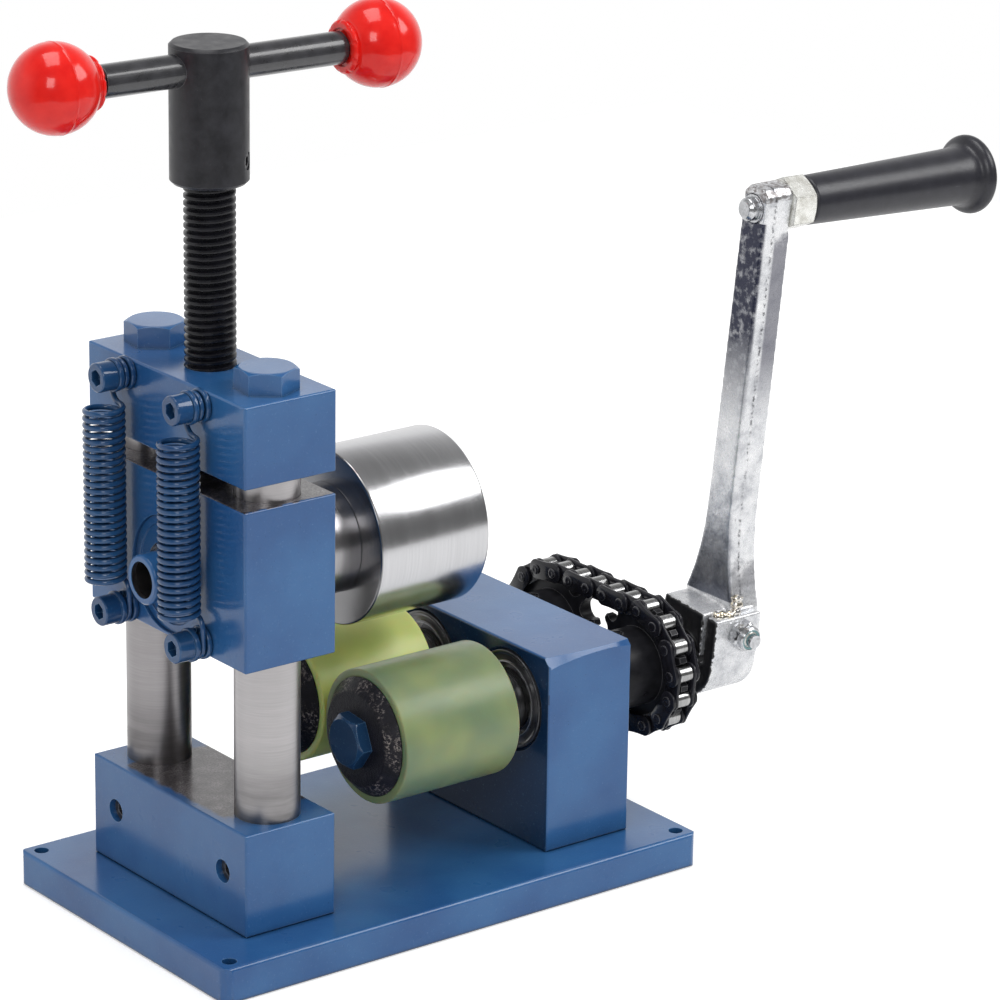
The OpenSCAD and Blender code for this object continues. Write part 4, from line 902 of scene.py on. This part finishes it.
for side, spot in SHAFTS.items():
    face = sleeve_front - CORE_OUT
    section = [(face, 6.6), (face, FACE_R), (sleeve_front - 0.15, CORE_R + 0.5),
               (sleeve_front - 0.05, CORE_R - 0.3), (sleeve_back - 0.8, CORE_R - 0.3),
               (sleeve_back, CORE_R - 1.5), (sleeve_back, 10.0), (sleeve_back - 6, 8.0),
               (face + 9, 8.0), (face + 9, 6.6), (face, 6.6)]
    settle(lathed(side + "_core_turned", section, 0.45, spot, 144), side + "_roll", core_oxide,
           side + "_core", sharp=50)
    front, rear, outer_r = turned_span(side + "_front_bearing")
    front -= BEARING_OUT
    section = [(front, 13.2), (front + 0.5, 13.8), (front + 0.5, outer_r - 1.6),
               (front, outer_r - 1.2), (front, outer_r - 0.1), (rear, outer_r - 0.1), (rear, 8.7),
               (front + 2, 8.7), (front + 2, 10.5), (front + 0.9, 11.0), (front + 0.6, 13.2),
               (front, 13.2)]
    settle(lathed(side + "_bearing_turned", section, 0.3, spot, 128), "frame", gloss_oxide,
           side + "_front_bearing", sharp=50)
    piece = hexagon_part(side + "_hex_bolt", HEX_KEY, crowned(HEX_KEY, HEX_H), (-1, 0, 0),
                         (face + 0.02, *spot[1:]), (0, -math.sin(HEX_TURN), math.cos(HEX_TURN)))
    settle(piece, side + "_roll", blue_in_painted_shade, side + "_roller_bolt", sharp=24)
print("cores", round(sleeve_front - CORE_OUT, 1), "to", round(sleeve_back, 1), "mm")

# %% [markdown]
# ## Lead screw
#
# A coarse metric thread, 2.5 mm from crest to crest, worn round and black with
# oil. The skin is a grid whose rows climb by one pitch in one turn, so the crest
# runs through the grid without a step; the radius follows a soft wave along it.
# Near both ends the wave fades to a plain chamfer.

# %% Thread
THREAD_PITCH, THREAD_SIDES, ROWS_A_TURN, NOSE_L = 2.5, 56, 10, 3.7


def thread_radius(height, phase, foot, top, major):
    """Radius at a height; phase runs from 0 to 1 in one pitch."""
    wave = 0.5 + 0.5 * math.cos(2 * math.pi * phase)
    depth = 1.35 * (1 - min(1.0, 1.45 * wave) ** 0.8)
    fade = min(1.0, (height - foot) / 1.5, (top - height) / 1.5)
    return major - depth - 1.2 * (1 - max(0.0, fade))


low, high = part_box("lead_screw")
foot, top, major = low.z / MM, high.z / MM, (high.y - low.y) / 2 / MM
screw_x, nose_end = (low.x + high.x) / 2 / MM, foot + NOSE_L
work = bmesh.new()
rows = []
for row in range(int((top - nose_end) / THREAD_PITCH * ROWS_A_TURN) + ROWS_A_TURN + 2):
    ring, phase = [], row / ROWS_A_TURN
    for turn in (side / THREAD_SIDES for side in range(THREAD_SIDES + 1)):
        height = min(max(nose_end + THREAD_PITCH * (phase - 1 + turn), nose_end), top)
        r = thread_radius(height, phase, nose_end, top, major)
        a = 2 * math.pi * turn
        spot = Vector((screw_x + r * math.cos(a), r * math.sin(a), height))
        ring.append(work.verts.new(spot * MM))
    rows.append(ring)
for one, two in zip(rows, rows[1:]):
    for k in range(THREAD_SIDES):
        work.faces.new((one[k], one[k + 1], two[k + 1], two[k]))
bmesh.ops.remove_doubles(work, verts=work.verts, dist=0.004 * MM)
bmesh.ops.dissolve_degenerate(work, edges=work.edges, dist=0.002 * MM)
bmesh.ops.holes_fill(work, edges=[e for e in work.edges if e.is_boundary], sides=400)
nose = eased([(foot, 0), (foot, 6.0), (nose_end + 0.4, 6.0), (nose_end + 0.4, 0)], 0.6)
skin(work, [around(r, (0, 0, 1), (screw_x, 0, 0), 48, along) for along, r in nose])
piece = new_piece("lead_screw_threaded", work)
settle(piece, "screw", screw_oxide, "lead_screw", sharp=50)
print("lead screw rows", len(rows), "faces", len(piece.data.polygons))

# %% [markdown]
# ## Return springs
#
# Two extension springs pull the head up against the screw. Each is one length of
# round wire, coiled close and ended in side hooks. The path is worked out point by
# point, lower hook, coil, upper hook, and a Geometry Nodes tree sweeps a round
# section along it, which keeps the wire's thickness true round every bend.

# %% Spring wire
WIRE_R, COIL_TURNS, COIL_R, HOOK_R, LOOP_TURN = 0.95, 25, 6.25, 4.35, 262
HOOK_X, COIL_X, HOOK_RISE, COIL_L = -83.05, -89.30, 10.2, 60.6
SPRING_Y, LOWER_SCREW_Z = 21.7, 110.03


def hook_points():
    """The upper hook, from where it leaves the coil."""
    top = HOOK_RISE + COIL_L
    bend = [(HOOK_X, HOOK_R * math.sin(a), top + HOOK_R * (1 - math.cos(a)))
            for a in (math.radians(90 * i / 10) for i in range(1, 11))]
    loop = [(HOOK_X, HOOK_R * math.cos(a), top + HOOK_RISE + HOOK_R * math.sin(a))
            for a in (math.radians(LOOP_TURN * i / 40) for i in range(41))]
    return bend + loop


def spring_points():
    """Lower hook, coil and upper hook."""
    upper = hook_points()
    lower = [(x, -y, COIL_L + 2 * HOOK_RISE - z) for x, y, z in reversed(upper)]
    coil = [(COIL_X + COIL_R * math.cos(a), COIL_R * math.sin(a),
             HOOK_RISE + COIL_L * a / (2 * math.pi * COIL_TURNS))
            for a in (2 * math.pi * i / 32 for i in range(32 * COIL_TURNS + 1))]
    return lower + coil + upper


def growing_tree(name, **inputs):
    """A Geometry Nodes tree with named inputs; returns it and what the inputs give."""
    tree = bpy.data.node_groups.new(name, "GeometryNodeTree")
    for label, kind in inputs.items():
        tree.interface.new_socket(label, in_out="INPUT", socket_type="NodeSocket" + kind)
    tree.interface.new_socket("Result", in_out="OUTPUT", socket_type="NodeSocketGeometry")
    return tree, join(tree, "NodeGroupInput").outputs


def hand_out(tree, geometry, coat):
    """Ends a tree: copies made real, the finish set, the result handed out."""
    real = join(tree, "GeometryNodeRealizeInstances", {0: geometry}).outputs[0]
    done = join(tree, "GeometryNodeSetMaterial", {"Geometry": real, "Material": coat}).outputs[0]
    join(tree, "NodeGroupOutput", {"Result": done})


def grown(piece, tree, **values):
    """Runs a node tree on a piece and keeps the result as plain mesh."""
    grow = piece.modifiers.new("grow", "NODES")
    grow.node_group = tree
    identifiers = {item.name: item.identifier for item in tree.interface.items_tree}
    for label, value in values.items():
        grow[identifiers[label]] = value
    made_plain(piece)


wire, given = growing_tree("swept wire", Path="Geometry", Radius="Float", Sides="Int",
                           Finish="Material")
path = join(wire, "GeometryNodeMeshToCurve", {"Mesh": given["Path"]}).outputs[0]
ring = join(wire, "GeometryNodeCurvePrimitiveCircle",
            {"Resolution": given["Sides"], "Radius": given["Radius"]}).outputs[0]
tube = join(wire, "GeometryNodeCurveToMesh",
            {"Curve": path, "Profile Curve": ring, "Fill Caps": True})
hand_out(wire, tube.outputs[0], given["Finish"])

for name, side in (("left_spring", 1), ("right_spring", -1)):
    work = bmesh.new()
    knots = [work.verts.new(Vector((x, y + side * SPRING_Y, z + LOWER_SCREW_Z)) * MM)
             for x, y, z in spring_points()]
    for a, b in zip(knots, knots[1:]):
        work.edges.new((a, b))
    piece = new_piece(name + "_wound", work)
    grown(piece, wire, Radius=WIRE_R * MM, Sides=12, Finish=blue_small)
    piece.data.shade_smooth()
    piece.data.set_sharp_from_angle(angle=math.radians(50))
    top = LOWER_SCREW_Z + COIL_L + HOOK_RISE
    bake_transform(piece)
    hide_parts(name)
    print(name, "points", len(knots), "faces", len(piece.data.polygons))

# %% [markdown]
# ## Ball knobs
#
# The knobs are moulded in two halves, so a thin line of flash runs round the
# middle of each ball. A collar of the same plastic meets the bar, with a few
# notches where the mould let go. One profile, turned about the bar's own axis,
# makes ball, seam and collar at once; the notches are a small change of radius
# with the angle.

# %% Turn the knobs
BAR_TURN, BAR_SHIFT, BAR_L, RIGHT_NEARER = math.radians(-2.6), 4.8, 122.8, 1.9
BALL_R, COLLAR_R, SEAM_H, NOTCHES = 14.9, 8.9, 0.08, 9
bar_way = Vector((math.cos(BAR_TURN), math.sin(BAR_TURN), 0))
bar_middle = Vector((-61.8, 0, 295.43)) + bar_way * BAR_SHIFT


def knob_profile():
    """From the far pole, over the seam and the collar, into the blind hole."""
    leave = math.acos(math.sqrt(BALL_R ** 2 - COLLAR_R ** 2) / BALL_R)
    ball = []
    for k in range(41):
        a = math.pi - (math.pi - leave) * k / 40
        along = BALL_R * math.cos(a)
        half_step = 0.0 if math.cos(a) < 0 else 0.06
        seam = SEAM_H * math.exp(-(along / 0.22) ** 2)
        ball.append((along, (BALL_R - half_step + seam) * math.sin(a)))
    edge = ball[-1][0]
    ball = [b for b in ball if abs(b[0]) > 0.35]
    ball += [(v, math.sqrt(BALL_R ** 2 - v * v) + rise)
             for v, rise in ((-0.25, 0), (-0.1, SEAM_H), (0.1, SEAM_H), (0.25, -0.04))]
    ball.sort()
    collar = eased([(edge + 0.1, COLLAR_R - 0.5), (edge + 0.6, COLLAR_R - 0.5),
                    (edge + 0.9, COLLAR_R), (13.4, COLLAR_R), (14.1, COLLAR_R - 0.7), (14.1, 6.4),
                    (13.0, 6.2), (13.0, 4.1)], 0.25)
    return [(-BALL_R, 0.0)] + ball[1:] + [tuple(v) for v in collar] + [(1.2, 4.1), (1.2, 0.0)]


for name, side, nearer in (("left_knob", -1, 0), ("right_knob", 1, RIGHT_NEARER)):
    place, inward = bar_middle + bar_way * side * (BAR_L / 2 - nearer), -bar_way * side
    piece = turned(name + "_ball", knob_profile(), place, 96, axis=inward)
    for v in piece.data.vertices:
        away = v.co / MM - place
        along = away.dot(inward)
        out = away - inward * along
        if along > 13.2 and out.length > 7.5:
            turn = math.atan2(out.z, out.dot(Vector((0, 0, 1)).cross(bar_way)))
            if math.cos(turn * NOTCHES) > 0.8:
                v.co -= out.normalized() * 0.45 * MM
    settle(piece, "screw", knob_red, name, sharp=42)
print("knobs turned, ball", 2 * BALL_R, "mm")

# %% [markdown]
# ## Grip
#
# The grip is a turned plastic sleeve that swells towards a rounded bead. It spins
# on the stud, so its inside is bored. The stud leans a little, and the profile is
# turned about that leaning axis.

# %% Turn the grip
LEAN, DROOP = math.radians(6), math.radians(1.7)
crank_place = Matrix.Translation((0, -LOWER_Y, LOWER_Z)) @ Matrix.Rotation(LEAN, 4, "X")
crank_turn = crank_place.to_3x3()
stud_seat = crank_place @ Vector((146.5, 0, 165.4))
stud_way = (crank_turn @ Vector((math.cos(DROOP), 0, -math.sin(DROOP)))).normalized()
grip = [(81.4, 0.0), (81.4, 5.6), (10.2, 5.6), (10.2, 7.9), (10.9, 8.6), (30.0, 9.05), (55.0, 9.65),
        (76.0, 10.15), (82.5, 10.5), (84.6, 11.3), (85.6, 12.9), (86.6, 13.8), (87.9, 14.1),
        (89.3, 13.8), (90.2, 12.9), (90.5, 11.6), (90.2, 9.5), (89.9, 5.0), (89.9, 0.0)]
piece = turned("handle_grip_turned", eased(grip, 1.0), stud_seat, 112, axis=stud_way)
settle(piece, "grip", grip_plastic, "handle_grip", sharp=50)
print("grip faces", len(piece.data.polygons))

# %% [markdown]
# ## Crank arm
#
# The crank is a rough casting, filed here and there and plated. A voxel remesh of
# the CAD solid gives an even skin; a few rounds of smoothing take its corners
# down, and noise along the normals puts the hammered, sandy surface back.

# %% Roughen the crank
VOXEL, ROUNDS, LUMP = 0.58, 10, 0.09
piece = new_piece("crank_arm_cast", merged_copy("crank_arm"))
remesh = piece.modifiers.new("even skin", "REMESH")
remesh.mode, remesh.voxel_size = "VOXEL", VOXEL * MM
smooth = piece.modifiers.new("worn corners", "SMOOTH")
smooth.factor, smooth.iterations = 0.5, ROUNDS
mesh = made_plain(piece)
for v, normal in zip(mesh.vertices, [v.normal.copy() for v in mesh.vertices]):
    at = v.co / MM
    rough = (0.6 * noise.noise(at / 3.1) + 0.4 * noise.noise(at / 1.3 + Vector((9, 2, 4)))
             + 0.3 * noise.noise(at / 9.0))
    v.co += normal * LUMP * rough * MM
mesh.update()
settle(piece, "near_roll", cast_plate, "crank_arm", sharp=180)
print("crank faces", len(mesh.polygons))

# %% [markdown]
# ## Weld on the crank
#
# A short weld joins the arm to its hub at the near corner. A weld bead is a row of
# overlapping lens-shaped ripples, so here a path is swept with a radius that
# pulses along it.

# %% Lay the weld
def bead(name, path, radius, ripple, pulse):
    """A rippled bead along points in mm."""
    fine = []
    for a, b in zip(path, path[1:]):
        count = max(2, int((b - a).length / 0.22))
        fine += [a.lerp(b, k / count) for k in range(count)]
    fine.append(path[-1])
    rings, gone = [], 0.0
    for k, here in enumerate(fine):
        after, before = fine[min(k + 1, len(fine) - 1)], fine[max(k - 1, 0)]
        gone += (here - before).length
        end = min(1.0, k / 4, (len(fine) - 1 - k) / 4)
        r = radius * (0.25 + 0.75 * end) * (1 + ripple * abs(math.sin(math.pi * gone / pulse)))
        rings.append(around(r, (after - before).normalized(), here, 20))
    return skinned(name, rings, capped=True)


corner = [crank_place @ Vector(p) for p in (
    (125.6, -10.5, 17.6), (128.5, -12.2, 17.8), (131.5, -13.4, 18.0),
    (133.6, -13.6, 19.2), (134.3, -13.3, 22.0), (134.4, -12.9, 25.5))]
piece = bead("crank_weld", corner, 1.7, 0.30, 2.6)
settle(piece, "near_roll", weld_metal, sharp=70)
print("weld faces", len(piece.data.polygons))

# %% [markdown]
# ## Lock nut on the crank's clamp
#
# The clamp bolt is held by a lock nut: a hexagon, a thin round collar rolled over
# a nylon ring, and the bolt's end just showing. Hexagon and collar are one piece,
# the ring a second, because its finish differs.

# %% Lock nut
CLAMP_X, CLAMP_RISE, NUT_SEAT, NUT_KEY = 134.77, 11.7, -16.0, 9.8
nut_way = (crank_turn @ Vector((0, -1, 0))).normalized()
nut_foot = crank_place @ Vector((CLAMP_X, NUT_SEAT, CLAMP_RISE))
outline = [(0.0, 3.1), (0.0, 4.7), (0.45, 5.8), (3.6, 5.8), (4.2, 4.8), (4.25, 4.55), (5.9, 4.55),
           (6.4, 4.1), (6.4, 3.75), (5.7, 3.7), (5.7, 3.1)]
nylon = [(5.6, 3.05), (6.05, 3.1), (6.15, 3.35), (6.05, 3.7), (5.6, 3.72)]
tip = [(5.0, 0.0), (5.0, 3.0), (5.95, 3.0), (6.35, 2.6), (6.35, 0.0)]
piece = hexagon_part("clamp_lock_nut", NUT_KEY, outline, nut_way, nut_foot,
                     crank_turn @ Vector((0.3, 0, 1)), hollow=True)
settle(piece, "near_roll", zinc, "clamp_nut", sharp=26)
piece = turned("clamp_nylon_ring", nylon, nut_foot, 48, True, nut_way)
settle(piece, "near_roll", nyloc, sharp=60)
piece = turned("clamp_bolt_tip", tip, nut_foot, 40, axis=nut_way)
settle(piece, "near_roll", bright_nut, sharp=40)
print("lock nut", NUT_KEY, "mm over its flats")

# %% [markdown]
# ## Roller chain
#
# Twenty-four links run round both sprockets. Every link is the same shape at
# another place and angle, the very thing instances are for. The places are worked
# out as in the CAD: straight runs and arcs, one pitch apart. A tree puts a shape
# on every point, turns it by the point's own angle and makes the copies real.

# %% Chain places
PITCH, LINKS, TEETH, CHAIN_X, INNER_X, OUTER_X = 9.525, 24, 14, 105.0, 3.56, 4.86
tooth_turn = 2 * math.pi / TEETH
pitch_r = PITCH / 2 / math.sin(tooth_turn / 2)
RUN, WRAP, MOVED = (LINKS - TEETH) / 2, TEETH / 2, 6.4 / 360 * TEETH


def chain_joint(i):
    """Joint i as (y, z) in mm."""
    n = (i + MOVED) % LINKS
    if n <= RUN:
        return Vector((LOWER_Y - n * PITCH, LOWER_Z + pitch_r))
    if n <= RUN + WRAP:
        a, side = math.pi / 2 + tooth_turn * (n - RUN), -1
    elif n <= 2 * RUN + WRAP:
        return Vector(((n - RUN - WRAP) * PITCH - LOWER_Y, LOWER_Z - pitch_r))
    else:
        a, side = 1.5 * math.pi + tooth_turn * (n - 2 * RUN - WRAP), 1
    return Vector((side * LOWER_Y + pitch_r * math.cos(a), LOWER_Z + pitch_r * math.sin(a)))


def places(name, spots):
    """A piece of loose points, each with its own turn about X; spots are (x, y, z, turn)."""
    mesh = bpy.data.meshes.new(name)
    mesh.from_pydata([Vector(p[:3]) * MM for p in spots], [], [])
    turn = mesh.attributes.new("turn", "FLOAT", "POINT")
    turn.data.foreach_set("value", [p[3] for p in spots])
    return placed(name, mesh)


def link_spots(first, offset):
    """Both side plates of every second link."""
    spots = []
    for i in range(first, LINKS, 2):
        a, b = joints[i], joints[i + 1]
        middle, way = (a + b) / 2, b - a
        spots += [(CHAIN_X + side * offset, *middle, math.atan2(way.y, way.x)) for side in (-1, 1)]
    return spots


joints = [chain_joint(i) for i in range(LINKS + 1)]
joint_spots = [(CHAIN_X, *j, 0.3 * k) for k, j in enumerate(joints[:LINKS])]

# %% Chain shapes
def link_plate():
    """One side plate: two eyes and a waist, its faces a little domed at the rim."""
    eye, waist, half_waist = 3.8, 3.45, 1.6
    outline = []
    for end in (1, -1):
        for a in (math.radians(-78 + 156 * k / 14) for k in range(15)):
            outline.append((end * (PITCH / 2 + eye * math.cos(a)), end * eye * math.sin(a)))
        outline += [(end * half_waist, end * waist), (-end * half_waist, end * waist)]
    rings = []
    for x, inset in ((-0.6, 0.34), (-0.42, 0.08), (-0.30, 0.0),
                     (0.30, 0.0), (0.42, 0.08), (0.6, 0.34)):
        rings.append([])
        for y, z in outline:
            out = Vector((y - max(-PITCH / 2, min(PITCH / 2, y)), z)).normalized()
            rings[-1].append((x, y - out.x * inset, z - out.y * inset))
    return skinned("link_plate_shape", rings, capped=True)


def pin_shape():
    """A pin with both ends riveted over and dimpled."""
    half = 6.16
    end = [(half - 0.35, 0.0), (half, 0.75), (half, 1.35), (half - 0.25, 1.82), (half - 0.62, 1.82),
           (half - 0.68, 1.64)]
    return turned("pin_shape", [(-x, r) for x, r in end] + end[::-1], (0, 0, 0), 20)


def roller_shape():
    """A chain roller with turned-in edges."""
    half = 2.76
    end = [(half - 0.25, 3.175), (half, 2.95), (half, 2.45)]
    return turned("roller_shape", [(-x, r) for x, r in end[::-1]] + end, (0, 0, 0), 28, True)

# %% Grow the chain
copies, given = growing_tree("copies along the chain", Places="Geometry", Shape="Object",
                             Size="Float", Finish="Material")
link = join(copies, "GeometryNodeObjectInfo", {"Object": given["Shape"]},
            transform_space="ORIGINAL")
turn = join(copies, "GeometryNodeInputNamedAttribute", {"Name": "turn"}, data_type="FLOAT")
angles = join(copies, "ShaderNodeCombineXYZ", {0: turn.outputs[0]}).outputs[0]
spin = join(copies, "FunctionNodeEulerToRotation", {0: angles}).outputs[0]
spread = join(copies, "GeometryNodeInstanceOnPoints", {
    "Points": given["Places"], "Instance": link.outputs["Geometry"], "Rotation": spin,
    "Scale": given["Size"]})
hand_out(copies, spread.outputs[0], given["Finish"])

plate, pin, roller = link_plate(), pin_shape(), roller_shape()
for name, shape, spots, coat in (
        ("chain_outer_plates", plate, link_spots(1, OUTER_X), chain_side),
        ("chain_inner_plates", plate, link_spots(0, INNER_X), chain_side),
        ("chain_pins", pin, joint_spots, chain_side),
        ("chain_rollers", roller, joint_spots, chain_shine)):
    piece = places(name + "_grown", spots)
    grown(piece, copies, Shape=shape, Size=1.0, Finish=coat)
    settle(piece, "frame", coat, name, sharp=40)
    print(name, len(spots), "copies,", len(piece.data.polygons), "faces")
for shape in (plate, pin, roller):
    bpy.data.objects.remove(shape)

# %% [markdown]
# ## Size
#
# The dressed model's size is printed, in millimetres. The dressed model has to
# stay inside the CAD model's box.

# %% Print the size
low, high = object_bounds()
print("visual size in mm:", [round(v / MM, 1) for v in high - low])
